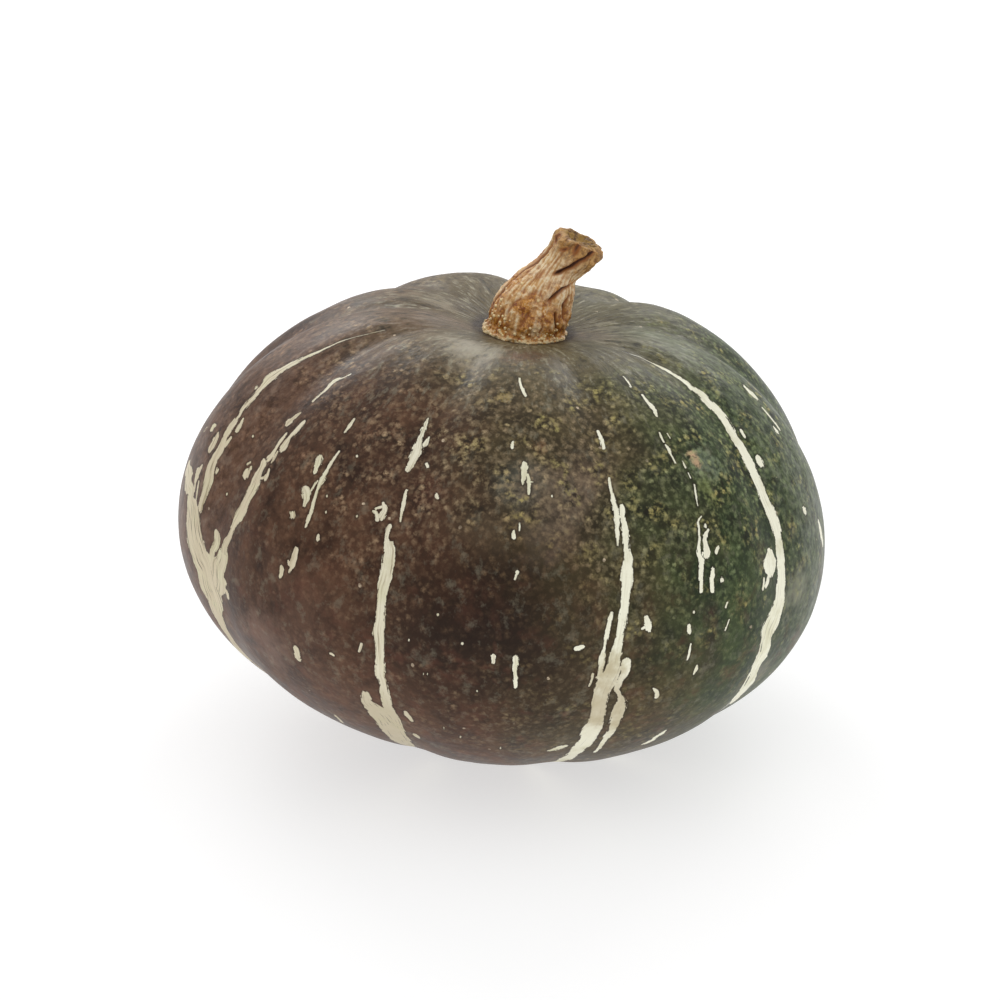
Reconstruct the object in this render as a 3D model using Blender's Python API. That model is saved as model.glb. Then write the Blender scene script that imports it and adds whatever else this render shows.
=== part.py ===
"""Kabocha squash, life size: a ribbed fruit lying on its blossom end, with the dry corky stem that it was picked by.

Run it with blender --background --python part.py, or from Blender's text editor.
Lengths are in metres and +Z is up. The fruit is shaped in its own frame, with its axis on Z and the middle of its
girth at the origin. An empty then leans that frame and lifts it, so that the blossom end lies flat on Z = 0.
"""

import math

import bmesh
import bpy
from mathutils import Matrix, Vector

MM = 0.001

# Driving dimensions of the fruit
FRUIT_RADIUS = 85 * MM            # half the mean width across the girth
STEM_END_HEIGHT = 66.5 * MM       # girth to the top of the dome that the stem hollow is sunk into
BLOSSOM_END_HEIGHT = 57.5 * MM    # girth to the blossom end
HOLLOW_DEPTH = 13.5 * MM          # how far the stem hollow is sunk
HOLLOW_WIDTH = 28 * MM            # radius where the hollow has lost two thirds of its depth
SCAR_HOLLOW_DEPTH = 4.5 * MM      # dimple at the blossom end
SCAR_HOLLOW_WIDTH = 8.5 * MM
SCAR_RADIUS = 4.5 * MM            # dry button in the dimple, where the flower sat
SCAR_HEIGHT = 1.5 * MM

# Ribs, with shallow valleys between them that run from the stem to the blossom end
# Azimuth of each valley in degrees, from the front towards +X
VALLEY_AZIMUTHS = (-131, -97, -61, -21.9, 18.5, 55.5, 95, 138, 179)
# How far the rib after each of those valleys stands out beyond the mean
RIB_SWELLS = (-0.7 * MM, 0.5 * MM, -0.2 * MM, 0.3 * MM, 0, 0.2 * MM, 1.2 * MM, -0.6 * MM, 1.3 * MM)
RIB_COUNT = len(VALLEY_AZIMUTHS)
VALLEY_DEPTH_AT_SHOULDER = 0.030  # share of the distance from the fruit's middle
VALLEY_DEPTH_AT_GIRTH = 0.013
VALLEY_SHARPNESS = 3              # higher gives narrower valleys between rounder ribs
VALLEY_START = 13 * MM            # no valley inside this radius, where the stem and the scar are
VALLEY_FULL = 42 * MM

# The girth isn't quite round: three soft lobes and a slight oval
LOBE_SHARE = 0.010
LOBE_AZIMUTH = math.radians(30)
OVAL_SHARE = 0.006
OVAL_AZIMUTH = math.radians(90)

# How the fruit lies
LEAN = math.radians(5)            # top towards +X
REST_FLAT_DEPTH = 2 * MM          # what lying on it has flattened off the lowest place

# Driving dimensions of the stem, in the fruit's frame, from the floor of the hollow
STEM_HEIGHT = 26.3 * MM
STEM_REACH = 11.6 * MM            # how far the tip has bent over towards +X
STEM_BEND = 1.6                   # power of the bend: 1 is a straight slanting stem
STEM_GAP = 0.3 * MM               # clearance between the foot and the skin
CUT_TILT = math.radians(19)       # the end was cut slanting
TILT_OF_NECK = math.radians(38)
NECK_PLACE = 0.84                 # share of the height where the stem is thinnest
# (share of the height, radius): wide foot, long shoulder, thin neck, flared end
STEM_PROFILE = [(0.0, 10.2 * MM), (0.06, 10.6 * MM), (0.32, 9.8 * MM), (0.55, 7.9 * MM),
                (0.74, 5.8 * MM), (NECK_PLACE, 5.2 * MM), (0.95, 6.2 * MM), (1.0, 7.0 * MM)]
RIDGE_COUNT = 9
RIDGE_SHARE = 0.085               # half the ridges' height, as a share of the radius
RIDGE_TWIST = math.radians(50)    # how far the ridges wind round from foot to tip
MAIN_RIDGES = 4                   # some ridges stand prouder than their neighbours
MAIN_RIDGE_SHARE = 0.06

# How finely the surfaces are drawn
SKIN_MERIDIANS = 12 * RIB_COUNT
SKIN_RINGS = 40
POLE_CROWDING = 0.55              # draws the rings closer together near the stem and the scar
STEM_SIDES = 6 * RIDGE_COUNT
STEM_RINGS = 20
FOOT_RINGS = 3

SKIN_COLOUR = "574C3C"
CORK_COLOUR = "B08D62"


def clear_scene():
    for obj in list(bpy.data.objects):
        bpy.data.objects.remove(obj)


def ease(low, high, value):
    """0 below low, 1 above high, and a smooth slope between them."""
    share = min(max((value - low) / (high - low), 0), 1)
    return share * share * (3 - 2 * share)


def bell(radius, width):
    return math.exp(-(radius / width) ** 2)


def girth(azimuth):
    """Share by which the fruit is wider or narrower in this direction."""
    lobes = LOBE_SHARE * math.cos(3 * (azimuth - LOBE_AZIMUTH))
    oval = OVAL_SHARE * math.cos(2 * (azimuth - OVAL_AZIMUTH))
    return 1 + lobes + oval


def rib_azimuth(rib):
    """The azimuth of a place counted in ribs: 0 is the first valley, 0.5 the crest after it, 1 the next valley."""
    index = math.floor(rib)
    here = VALLEY_AZIMUTHS[index % RIB_COUNT]
    after = VALLEY_AZIMUTHS[(index + 1) % RIB_COUNT]
    across = (after - here) % 360
    return math.radians(here + across * (rib - index))


def rib_share(radius, height, rib):
    """Share of the distance from the middle by which the ribs and valleys change the round form."""
    valley = (0.5 + 0.5 * math.cos(2 * math.pi * rib)) ** VALLEY_SHARPNESS
    upward = ease(-0.1, 0.8, height / STEM_END_HEIGHT)
    deepest = VALLEY_DEPTH_AT_GIRTH + (VALLEY_DEPTH_AT_SHOULDER - VALLEY_DEPTH_AT_GIRTH) * upward
    swell = RIB_SWELLS[math.floor(rib) % RIB_COUNT] / FRUIT_RADIUS * math.sin(math.pi * rib) ** 2
    return (swell - valley * deepest) * ease(VALLEY_START, VALLEY_FULL, radius)


def skin_height_at_stem(radius, dome_height):
    return dome_height - HOLLOW_DEPTH * bell(radius, HOLLOW_WIDTH)


def skin_height_at_scar(radius, dome_height):
    dimple = SCAR_HOLLOW_DEPTH * bell(radius, SCAR_HOLLOW_WIDTH)
    button = SCAR_HEIGHT * ease(1.3 * SCAR_RADIUS, 0.7 * SCAR_RADIUS, radius)
    return dome_height + dimple - button


def skin_point(polar, rib):
    """A point of the skin: polar runs from the stem (0) to the blossom end (pi), rib round it, counted in ribs."""
    azimuth = rib_azimuth(rib)
    radius = FRUIT_RADIUS * math.sin(polar) * girth(azimuth)
    if polar < math.pi / 2:
        height = skin_height_at_stem(radius, STEM_END_HEIGHT * math.cos(polar))
    else:
        height = skin_height_at_scar(radius, BLOSSOM_END_HEIGHT * math.cos(polar))
    outward = 1 + rib_share(radius, height, rib)
    return Vector((radius * math.sin(azimuth), -radius * math.cos(azimuth), height)) * outward


def crowd_to_poles(polar):
    return polar - POLE_CROWDING * math.sin(2 * polar) / 2


def make_fruit():
    """The fruit, from a unit sphere whose points are moved onto the skin, one meridian in each valley."""
    shape = bmesh.new()
    bmesh.ops.create_uvsphere(shape, u_segments=SKIN_MERIDIANS, v_segments=SKIN_RINGS, radius=1)
    for vert in shape.verts:
        polar = math.acos(min(max(vert.co.z, -1), 1))
        rib = math.atan2(vert.co.x, -vert.co.y) / (2 * math.pi) * RIB_COUNT
        vert.co = skin_point(crowd_to_poles(polar), rib)
    return mesh_object("fruit", shape)


def stem_radius(share):
    """The stem's mean radius, read off its profile with a smooth slope between the points."""
    for (low, narrow), (high, wide) in zip(STEM_PROFILE, STEM_PROFILE[1:]):
        if share <= high:
            return narrow + (wide - narrow) * ease(low, high, share)
    return STEM_PROFILE[-1][1]


def stem_tilt(share):
    """How far a cross-section is turned out of the level, up to the neck and then back to the slanting cut."""
    if share < NECK_PLACE:
        return TILT_OF_NECK * ease(0, NECK_PLACE, share)
    return TILT_OF_NECK + (CUT_TILT - TILT_OF_NECK) * ease(NECK_PLACE, 1, share)


def ridges(share, around):
    """Share by which the ridged section stands out at this place round the stem."""
    turned = around - RIDGE_TWIST * share
    fine = RIDGE_SHARE * math.cos(RIDGE_COUNT * turned)
    main = MAIN_RIDGE_SHARE * math.cos(MAIN_RIDGES * turned + 1)
    return 1 + (fine + main) * ease(-0.3, 0.2, share)


def stem_point(share, around):
    """A point of the stem's side, in the fruit's frame."""
    floor_height = skin_height_at_stem(0, STEM_END_HEIGHT)
    bent = STEM_REACH * share ** STEM_BEND
    centre = Vector((bent, 0, floor_height + STEM_GAP + STEM_HEIGHT * share))
    radius = stem_radius(share) * ridges(share, around)
    out = Vector((radius * math.cos(around), radius * math.sin(around), 0))
    place = centre + Matrix.Rotation(stem_tilt(share), 3, "Y") @ out
    clear_of_skin = skin_height(place) + STEM_GAP
    place.z = max(place.z, clear_of_skin)
    return place


def skin_height(place):
    """Height of the hollow's floor under a point near the stem."""
    radius = math.hypot(place.x, place.y)
    dome = STEM_END_HEIGHT * math.sqrt(1 - min(radius / FRUIT_RADIUS, 1) ** 2)
    return skin_height_at_stem(radius, dome)


def foot_point(share, around):
    """A point of the stem's underside, which follows the floor of the hollow at the gap."""
    rim = stem_point(0, around)
    place = Vector((rim.x * share, rim.y * share, 0))
    place.z = skin_height(place) + STEM_GAP
    return place


def loft(shape, rings):
    """Joins rings of points, each to the next, and closes the first round a point and the last with a flat cut."""
    loops = [[shape.verts.new(point) for point in ring] for ring in rings]
    for lower, upper in zip(loops, loops[1:]):
        for here in range(len(lower)):
            after = (here + 1) % len(lower)
            shape.faces.new((lower[here], lower[after], upper[after], upper[here]))
    shape.faces.new(loops[-1])
    return loops


def make_stem():
    """The stem: unlike ridged sections lofted along the bend, on a foot that fits the hollow."""
    angles = [2 * math.pi * side / STEM_SIDES for side in range(STEM_SIDES)]
    foot = [[foot_point(ring / FOOT_RINGS, around) for around in angles] for ring in range(1, FOOT_RINGS)]
    side = [[stem_point(ring / STEM_RINGS, around) for around in angles] for ring in range(STEM_RINGS + 1)]
    shape = bmesh.new()
    loops = loft(shape, foot + side)
    middle = shape.verts.new(foot_point(0, 0))
    for here in range(STEM_SIDES):
        shape.faces.new((middle, loops[0][(here + 1) % STEM_SIDES], loops[0][here]))
    bmesh.ops.recalc_face_normals(shape, faces=shape.faces)
    return mesh_object("stem", shape)


def mesh_object(name, shape):
    mesh = bpy.data.meshes.new(name)
    shape.to_mesh(mesh)
    shape.free()
    mesh.shade_smooth()
    mesh.set_sharp_from_angle(angle=math.radians(50))
    return bpy.data.objects.new(name, mesh)


def linear_colour(hex_colour):
    """An sRGB hex colour as the linear values that a shader takes."""
    channels = [int(hex_colour[at:at + 2], 16) / 255 for at in (0, 2, 4)]
    return [c / 12.92 if c <= 0.04045 else ((c + 0.055) / 1.055) ** 2.4 for c in channels] + [1]


def give_material(obj, name, hex_colour, roughness):
    material = bpy.data.materials.new(name)
    material.use_nodes = True
    surface = material.node_tree.nodes["Principled BSDF"]
    surface.inputs["Base Color"].default_value = linear_colour(hex_colour)
    surface.inputs["Roughness"].default_value = roughness
    surface.inputs["Metallic"].default_value = 0
    obj.data.materials.append(material)


def lay_down(obj):
    """Returns an empty that leans the fruit, centres it and sinks it into the floor by what will be flattened."""
    lean = Matrix.Rotation(LEAN, 4, "Y")
    corners = [lean @ vert.co for vert in obj.data.vertices]
    axis = bpy.data.objects.new("fruit_axis", None)
    axis.rotation_euler = (0, LEAN, 0)
    axis.location = (
        -(min(c.x for c in corners) + max(c.x for c in corners)) / 2,
        -(min(c.y for c in corners) + max(c.y for c in corners)) / 2,
        -min(c.z for c in corners) - REST_FLAT_DEPTH,
    )
    return axis


def make_floor_cutter():
    """A slab whose top is the surface that the squash lies on. It cuts the flat spot."""
    width, depth = 3 * FRUIT_RADIUS, 20 * MM
    shape = bmesh.new()
    bmesh.ops.create_cube(shape, size=1)
    bmesh.ops.scale(shape, verts=shape.verts, vec=(width, width, depth))
    cutter = mesh_object("floor_cutter", shape)
    cutter.location.z = -depth / 2
    cutter.hide_render = True
    cutter.display_type = "WIRE"
    return cutter


def main():
    clear_scene()
    parts = bpy.data.collections.new("kabocha_squash")
    cutters = bpy.data.collections.new("cutters")
    bpy.context.scene.collection.children.link(parts)
    bpy.context.scene.collection.children.link(cutters)

    fruit = make_fruit()
    stem = make_stem()
    give_material(fruit, "waxy_rind", SKIN_COLOUR, 0.45)
    give_material(stem, "dry_cork", CORK_COLOUR, 0.75)

    axis = lay_down(fruit)
    fruit.parent = axis
    stem.parent = axis
    for obj in (axis, fruit, stem):
        parts.objects.link(obj)

    cutter = make_floor_cutter()
    cutters.objects.link(cutter)
    flat = fruit.modifiers.new("flat_spot", "BOOLEAN")
    flat.operation = "DIFFERENCE"
    flat.object = cutter


main()
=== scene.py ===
# %% [markdown]
# # A kabocha squash
#
# This lesson dresses the imported model of a kabocha squash until it looks like the real one. The squash has two
# pieces: the ribbed fruit and its dry stem. The imported model gives their places and sizes, so the first cell loads
# it and keeps its box.

import math

import bmesh
import bpy
import numpy as np
from mathutils import Matrix, Vector, noise
from mathutils.bvhtree import BVHTree


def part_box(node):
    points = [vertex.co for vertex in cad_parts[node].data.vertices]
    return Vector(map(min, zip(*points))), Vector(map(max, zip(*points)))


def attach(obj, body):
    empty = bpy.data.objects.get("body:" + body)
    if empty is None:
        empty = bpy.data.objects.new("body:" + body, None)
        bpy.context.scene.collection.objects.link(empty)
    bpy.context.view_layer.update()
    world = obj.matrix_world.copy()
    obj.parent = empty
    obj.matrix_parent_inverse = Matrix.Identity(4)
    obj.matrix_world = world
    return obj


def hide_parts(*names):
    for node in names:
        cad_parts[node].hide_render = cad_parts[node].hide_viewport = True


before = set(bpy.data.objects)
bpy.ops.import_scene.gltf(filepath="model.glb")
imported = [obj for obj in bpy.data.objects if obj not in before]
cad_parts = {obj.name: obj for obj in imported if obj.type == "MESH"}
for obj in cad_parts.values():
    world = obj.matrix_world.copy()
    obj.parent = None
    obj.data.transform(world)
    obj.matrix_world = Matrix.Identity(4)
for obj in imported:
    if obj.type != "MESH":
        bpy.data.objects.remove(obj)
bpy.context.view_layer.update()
MM = 0.001                             # in metres, as everything in Blender

# %% [markdown]
# ## Camera
#
# The photograph was taken from the front, a little above the squash, from several fruit widths away. Its outline
# gave the angle and the distance. The markings on the rind are placed by where they appear in the photograph, so a
# second helper turns a place in the picture into the ray that the camera sees it along.

# %% Camera
PICTURE_SIDE = 1000                    # the photograph is square, in pixels
CAMERA_ELEVATION = math.radians(20.8)
CAMERA_DISTANCE = 0.85                 # metres
CAMERA_AIM = Vector((-0.4, 3.1, 61.7)) * MM
LENS, SENSOR = 115.1, 36.0             # millimetres


def in_the_scene(name, data):
    """A new object in the scene, made from its mesh, light or camera."""
    thing = bpy.data.objects.new(name, data)
    bpy.context.scene.collection.objects.link(thing)
    return thing


to_camera = Vector((0, -math.cos(CAMERA_ELEVATION), math.sin(CAMERA_ELEVATION)))
camera = in_the_scene("camera", bpy.data.cameras.new("camera"))
camera.location = CAMERA_AIM + to_camera * CAMERA_DISTANCE
camera.rotation_euler = to_camera.to_track_quat("Z", "Y").to_euler()
camera.data.lens = LENS
camera.data.sensor_width = SENSOR
bpy.context.scene.camera = camera


def photo_ray(x, y):
    """The direction in which the camera sees a place of the photograph, given in pixels."""
    side = SENSOR / LENS
    right = Vector((1, 0, 0))
    up = to_camera.cross(right)
    return (right * (x / PICTURE_SIDE - 0.5) * side + up * (0.5 - y / PICTURE_SIDE) * side - to_camera).normalized()


print("camera", round(CAMERA_DISTANCE * 1000), "mm away,", round(math.degrees(CAMERA_ELEVATION), 1), "degrees up")

# %% [markdown]
# ## Colours and nodes
#
# Colours are written as the sRGB hex values that a screen shows. A shader works in linear light, so one function
# turns them. A second function adds one node to any tree, sets it and links it.

# %% Colours and nodes
MATH = "ShaderNodeMath"
VECTOR = "ShaderNodeVectorMath"
RANGE = "ShaderNodeMapRange"
MIX = "ShaderNodeMix"
NOISE = "ShaderNodeTexNoise"
CELLS = "ShaderNodeTexVoronoi"


def linear(hex_colour):
    """An sRGB hex colour as the linear values that a shader takes."""
    channels = [int(hex_colour[at:at + 2], 16) / 255 for at in (0, 2, 4)]
    return [c / 12.92 if c <= 0.04045 else ((c + 0.055) / 1.055) ** 2.4 for c in channels] + [1]


def add(tree, kind, inputs=None, **settings):
    """Adds a node. Each input, by name or number, is a value or what another node gives."""
    node = tree.nodes.new(kind)
    for name, value in settings.items():
        setattr(node, name, value)
    for name, value in (inputs or {}).items():
        if isinstance(value, bpy.types.Node):
            value = next(out for out in value.outputs if out.enabled)
        if isinstance(value, bpy.types.NodeSocket):
            tree.links.new(value, node.inputs[name])
        else:
            node.inputs[name].default_value = value
    return node


print("cream streak, linear:", [round(c, 3) for c in linear("FFFDE6")])

# %% [markdown]
# ## The fruit's skin
#
# A kabocha is a flattened ball. Shallow valleys run down it from the stem to the blossom end, with rounder ribs
# between them. The stem stands in a hollow, and the blossom end has a dimple with a dry button. This could be
# sculpted, but it all follows a rule, so a Geometry Nodes tree computes it: each point of a flat grid is moved to
# its place on the skin. Across the grid, the place is counted in ribs, and down it, in the angle from the stem.
# The sizes are the tree's inputs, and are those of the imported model.

# %% Sizes of the fruit
FRUIT = {
    "Half width": 85 * MM, "Stem end height": 66.5 * MM, "Blossom end height": 57.5 * MM,
    "Hollow depth": 13.5 * MM, "Hollow width": 28 * MM,
    "Dimple depth": 4.5 * MM, "Dimple width": 8.5 * MM, "Button radius": 4.5 * MM, "Button height": 1.5 * MM,
    "Valley depth at shoulder": 0.030, "Valley depth at girth": 0.013, "Valley sharpness": 3.0,
    "Valley start": 13 * MM, "Valley full": 42 * MM,
    "Lobes": 0.010, "Lobe azimuth": math.radians(30), "Oval": 0.006, "Oval azimuth": math.radians(90),
    "Lean": math.radians(5), "Furrow height": 0.55 * MM, "Dent height": 0.5 * MM,
}
REST_FLAT_DEPTH = 2 * MM
VALLEY_AZIMUTHS = (-131, -97, -61, -21.9, 18.5, 55.5, 95, 138, 179)  # degrees from the front towards +X
RIB_SWELLS = (-0.7, 0.5, -0.2, 0.3, 0, 0.2, 1.2, -0.6, 1.3)          # millimetres, for the rib after each valley
RIBS = len(VALLEY_AZIMUTHS)
AROUND, DOWN = 504, 190                                               # faces round the skin and down it
CROWDING = 0.2              # how much closer the rows stand near the stem and the blossom
SMALLEST_EDGE = 0.002 * MM  # corners closer than this, at the poles and the seam, are merged
print(RIBS, "ribs,", 2 * AROUND * DOWN, "triangles")

# %% The skin's tree: where on the grid, and which way
SOCKETS = {float: "NodeSocketFloat", int: "NodeSocketInt", tuple: "NodeSocketVector",
           bpy.types.Material: "NodeSocketMaterial"}
TRIAL_PLACE = (0.0, 0.0, 1.0)         # high above the floor, where the skin stays whole and can be measured


def geometry_tree(name, values):
    """A Geometry Nodes tree with a named input for each of these values, and its own inputs' sockets."""
    tree = bpy.data.node_groups.new(name, "GeometryNodeTree")
    for way in ("INPUT", "OUTPUT"):
        tree.interface.new_socket("Geometry", in_out=way, socket_type="NodeSocketGeometry")
    for title, value in values.items():
        tree.interface.new_socket(title, in_out="INPUT", socket_type=SOCKETS[type(value)])
    return tree, add(tree, "NodeGroupInput").outputs


rind = bpy.data.materials.new("waxed_rind")
skin, size = geometry_tree("ribbed_skin", {**FRUIT, "Place": TRIAL_PLACE, "Rind": rind})

grid = add(skin, "GeometryNodeMeshGrid",
           {"Size X": 1.0, "Size Y": 1.0, "Vertices X": AROUND + 1, "Vertices Y": DOWN + 1})
on_grid = add(skin, "ShaderNodeSeparateXYZ", {0: add(skin, "GeometryNodeInputPosition")})
across = add(skin, MATH, {0: on_grid.outputs[0], 1: 0.5}, operation="ADD")
down = add(skin, MATH, {0: 0.5, 1: on_grid.outputs[1]}, operation="SUBTRACT")
rib = add(skin, MATH, {0: across, 1: float(RIBS)}, operation="MULTIPLY")

# The valleys aren't evenly spaced, so a curve leads from ribs to azimuth
spacing = add(skin, "ShaderNodeFloatCurve", {"Value": across})
knots = spacing.mapping.curves[0].points
turns = [(azimuth - VALLEY_AZIMUTHS[0]) / 360 for azimuth in VALLEY_AZIMUTHS]
for number in range(1, RIBS):
    knots.new(number / RIBS, turns[number])
for knot in knots:
    knot.handle_type = "VECTOR"
spacing.mapping.update()
azimuth = add(skin, MATH, {0: spacing, 1: 2 * math.pi, 2: math.radians(VALLEY_AZIMUTHS[0])}, operation="MULTIPLY_ADD")

# The rows stand closer together near the stem and the blossom
even = add(skin, MATH, {0: down, 1: math.pi}, operation="MULTIPLY")
doubled = add(skin, MATH, {0: add(skin, MATH, {0: even, 1: 2.0}, operation="MULTIPLY")}, operation="SINE")
polar = add(skin, MATH, {0: doubled, 1: -CROWDING, 2: even}, operation="MULTIPLY_ADD")
print(len(skin.nodes), "nodes")

# %% The skin's tree: the round form with its hollow and dimple
girth = 1.0
for waves, amount, turned in ((3.0, "Lobes", "Lobe azimuth"), (2.0, "Oval", "Oval azimuth")):
    turn = add(skin, MATH, {0: azimuth, 1: size[turned]}, operation="SUBTRACT")
    wave = add(skin, MATH, {0: add(skin, MATH, {0: turn, 1: waves}, operation="MULTIPLY")}, operation="COSINE")
    girth = add(skin, MATH, {0: wave, 1: size[amount], 2: girth}, operation="MULTIPLY_ADD")
sine = add(skin, MATH, {0: polar}, operation="SINE")
cosine = add(skin, MATH, {0: polar}, operation="COSINE")
round_radius = add(skin, MATH, {0: sine, 1: size["Half width"]}, operation="MULTIPLY")
radius = add(skin, MATH, {0: round_radius, 1: girth}, operation="MULTIPLY")


def bell(width):
    """A bell round the fruit's axis: 1 on the axis, and fading over this width."""
    share = add(skin, MATH, {0: radius, 1: width}, operation="DIVIDE")
    square = add(skin, MATH, {0: share, 1: share}, operation="MULTIPLY")
    return add(skin, MATH, {0: add(skin, MATH, {0: square, 1: -1.0}, operation="MULTIPLY")}, operation="EXPONENT")


dome = add(skin, MATH, {0: cosine, 1: size["Stem end height"]}, operation="MULTIPLY")
hollow = add(skin, MATH, {0: bell(size["Hollow width"]), 1: size["Hollow depth"]}, operation="MULTIPLY")
upper = add(skin, MATH, {0: dome, 1: hollow}, operation="SUBTRACT")

bowl = add(skin, MATH, {0: cosine, 1: size["Blossom end height"]}, operation="MULTIPLY")
bowl = add(skin, MATH, {0: bell(size["Dimple width"]), 1: size["Dimple depth"], 2: bowl}, operation="MULTIPLY_ADD")
button_edge = add(skin, MATH, {0: radius, 1: size["Button radius"]}, operation="DIVIDE")
button = add(skin, RANGE, {"Value": button_edge, "From Min": 0.7, "From Max": 1.3, "To Min": 1.0, "To Max": 0.0},
             interpolation_type="SMOOTHSTEP")
button = add(skin, MATH, {0: button, 1: size["Button height"]}, operation="MULTIPLY")
lower = add(skin, MATH, {0: bowl, 1: button}, operation="SUBTRACT")
is_lower = add(skin, MATH, {0: polar, 1: math.pi / 2}, operation="GREATER_THAN")
height = add(skin, MIX, {"Factor": is_lower, "A": upper, "B": lower})
print(len(skin.nodes), "nodes")

# %% The skin's tree: ribs and valleys
rib_wave = add(skin, MATH, {0: add(skin, MATH, {0: rib, 1: 2 * math.pi}, operation="MULTIPLY")}, operation="COSINE")
valley = add(skin, MATH, {0: rib_wave, 1: 0.5, 2: 0.5}, operation="MULTIPLY_ADD")
valley = add(skin, MATH, {0: valley, 1: size["Valley sharpness"]}, operation="POWER")
upward = add(skin, MATH, {0: height, 1: size["Stem end height"]}, operation="DIVIDE")
deepest = add(skin, RANGE, {"Value": upward, "From Min": -0.1, "From Max": 0.8,
                            "To Min": size["Valley depth at girth"], "To Max": size["Valley depth at shoulder"]},
              interpolation_type="SMOOTHSTEP")
crest = add(skin, MATH, {0: add(skin, MATH, {0: rib, 1: math.pi}, operation="MULTIPLY")}, operation="SINE")
crest = add(skin, MATH, {0: crest, 1: crest}, operation="MULTIPLY")
swell = add(skin, "GeometryNodeIndexSwitch", data_type="FLOAT")
while len(swell.index_switch_items) < RIBS:
    swell.index_switch_items.new()
whole_rib = add(skin, MATH, {0: rib}, operation="FLOOR")
skin.links.new(whole_rib.outputs[0], swell.inputs[0])
for number, height_mm in enumerate(RIB_SWELLS):
    swell.inputs[number + 1].default_value = height_mm * MM
swell = add(skin, MATH, {0: swell, 1: size["Half width"]}, operation="DIVIDE")
swell = add(skin, MATH, {0: swell, 1: crest}, operation="MULTIPLY")
sunk = add(skin, MATH, {0: valley, 1: deepest}, operation="MULTIPLY")
relief = add(skin, MATH, {0: swell, 1: sunk}, operation="SUBTRACT")
ribbed = add(skin, RANGE, {"Value": radius, "From Min": size["Valley start"], "From Max": size["Valley full"]},
             interpolation_type="SMOOTHSTEP")
outward = add(skin, MATH, {0: relief, 1: ribbed, 2: 1.0}, operation="MULTIPLY_ADD")
print(len(skin.nodes), "nodes")

# %% [markdown]
# Round the stem the skin is drawn into fine furrows, like cloth round a button, and the whole rind has low dents.
# Both are real relief, so they are added to the shape here: noise that runs along the meridians for the furrows, and
# noise without a direction for the dents.

# %% The skin's tree: furrows, dents, lean and flat spot
side = add(skin, "ShaderNodeCombineXYZ", {0: add(skin, MATH, {0: azimuth}, operation="SINE"),
                                          1: add(skin, MATH, {0: add(skin, MATH, {0: azimuth}, operation="COSINE"),
                                                              1: -1.0}, operation="MULTIPLY")})
flat_place = add(skin, VECTOR, {0: side, "Scale": radius}, operation="SCALE")
level = add(skin, "ShaderNodeCombineXYZ", {2: height})
place = add(skin, VECTOR, {0: flat_place, 1: level}, operation="ADD")
place = add(skin, VECTOR, {0: place, "Scale": outward}, operation="SCALE")
away = add(skin, VECTOR, {0: place}, operation="NORMALIZE")

along = add(skin, "ShaderNodeCombineXYZ", {2: polar})
streaming = add(skin, VECTOR, {0: side, 1: along}, operation="ADD")
furrows = add(skin, NOISE, {"Vector": streaming, "Scale": 13.0, "Detail": 2.0, "Roughness": 0.6})
furrows = add(skin, MATH, {0: furrows, 1: 0.5}, operation="SUBTRACT")
opening = add(skin, RANGE, {"Value": radius, "From Min": 11 * MM, "From Max": 18 * MM}, interpolation_type="SMOOTHSTEP")
closing = add(skin, RANGE, {"Value": radius, "From Min": 24 * MM, "From Max": 60 * MM, "To Min": 1.0, "To Max": 0.12},
              interpolation_type="SMOOTHSTEP")
furrowed = add(skin, MATH, {0: opening, 1: closing}, operation="MULTIPLY")
furrowed = add(skin, MATH, {0: furrowed, 1: size["Furrow height"]}, operation="MULTIPLY")
furrows = add(skin, MATH, {0: furrows, 1: furrowed}, operation="MULTIPLY")
dents = add(skin, NOISE, {"Vector": place, "Scale": 1 / (17 * MM), "Detail": 1.5, "Roughness": 0.5})
dents = add(skin, MATH, {0: dents, 1: 0.5}, operation="SUBTRACT")
dents = add(skin, MATH, {0: dents, 1: size["Dent height"]}, operation="MULTIPLY")
dents = add(skin, MATH, {0: dents, 1: opening}, operation="MULTIPLY")
rise = add(skin, MATH, {0: furrows, 1: dents}, operation="ADD")
place = add(skin, VECTOR, {0: away, 1: rise, 2: place}, operation="MULTIPLY_ADD")

leaned = add(skin, "ShaderNodeVectorRotate", {"Vector": place, "Angle": size["Lean"]}, rotation_type="Y_AXIS")
settled = add(skin, "ShaderNodeSeparateXYZ", {0: add(skin, VECTOR, {0: leaned, 1: size["Place"]}, operation="ADD")})
above_floor = add(skin, MATH, {0: settled.outputs[2], 1: 0.0}, operation="MAXIMUM")
settled = add(skin, "ShaderNodeCombineXYZ", {0: settled.outputs[0], 1: settled.outputs[1], 2: above_floor})

# The azimuth and the angle from the stem stay with the skin, as a map that the rind's pattern follows
around_down = add(skin, "ShaderNodeCombineXYZ", {0: azimuth, 1: polar})
mapped = add(skin, "GeometryNodeStoreNamedAttribute",
             {"Geometry": grid.outputs["Mesh"], "Name": "around_down", "Value": around_down},
             data_type="FLOAT2", domain="CORNER")
moved = add(skin, "GeometryNodeSetPosition", {"Geometry": mapped, "Position": settled})
closed = add(skin, "GeometryNodeMergeByDistance", {"Geometry": moved, "Distance": SMALLEST_EDGE})
smooth = add(skin, "GeometryNodeSetShadeSmooth", {"Geometry": closed})
whole = add(skin, "GeometryNodeRealizeInstances", {"Geometry": smooth})
finished = add(skin, "GeometryNodeSetMaterial", {"Geometry": whole, "Material": size["Rind"]})
add(skin, "NodeGroupOutput", {0: finished})
print(len(skin.nodes), "nodes in the skin's tree")


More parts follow.
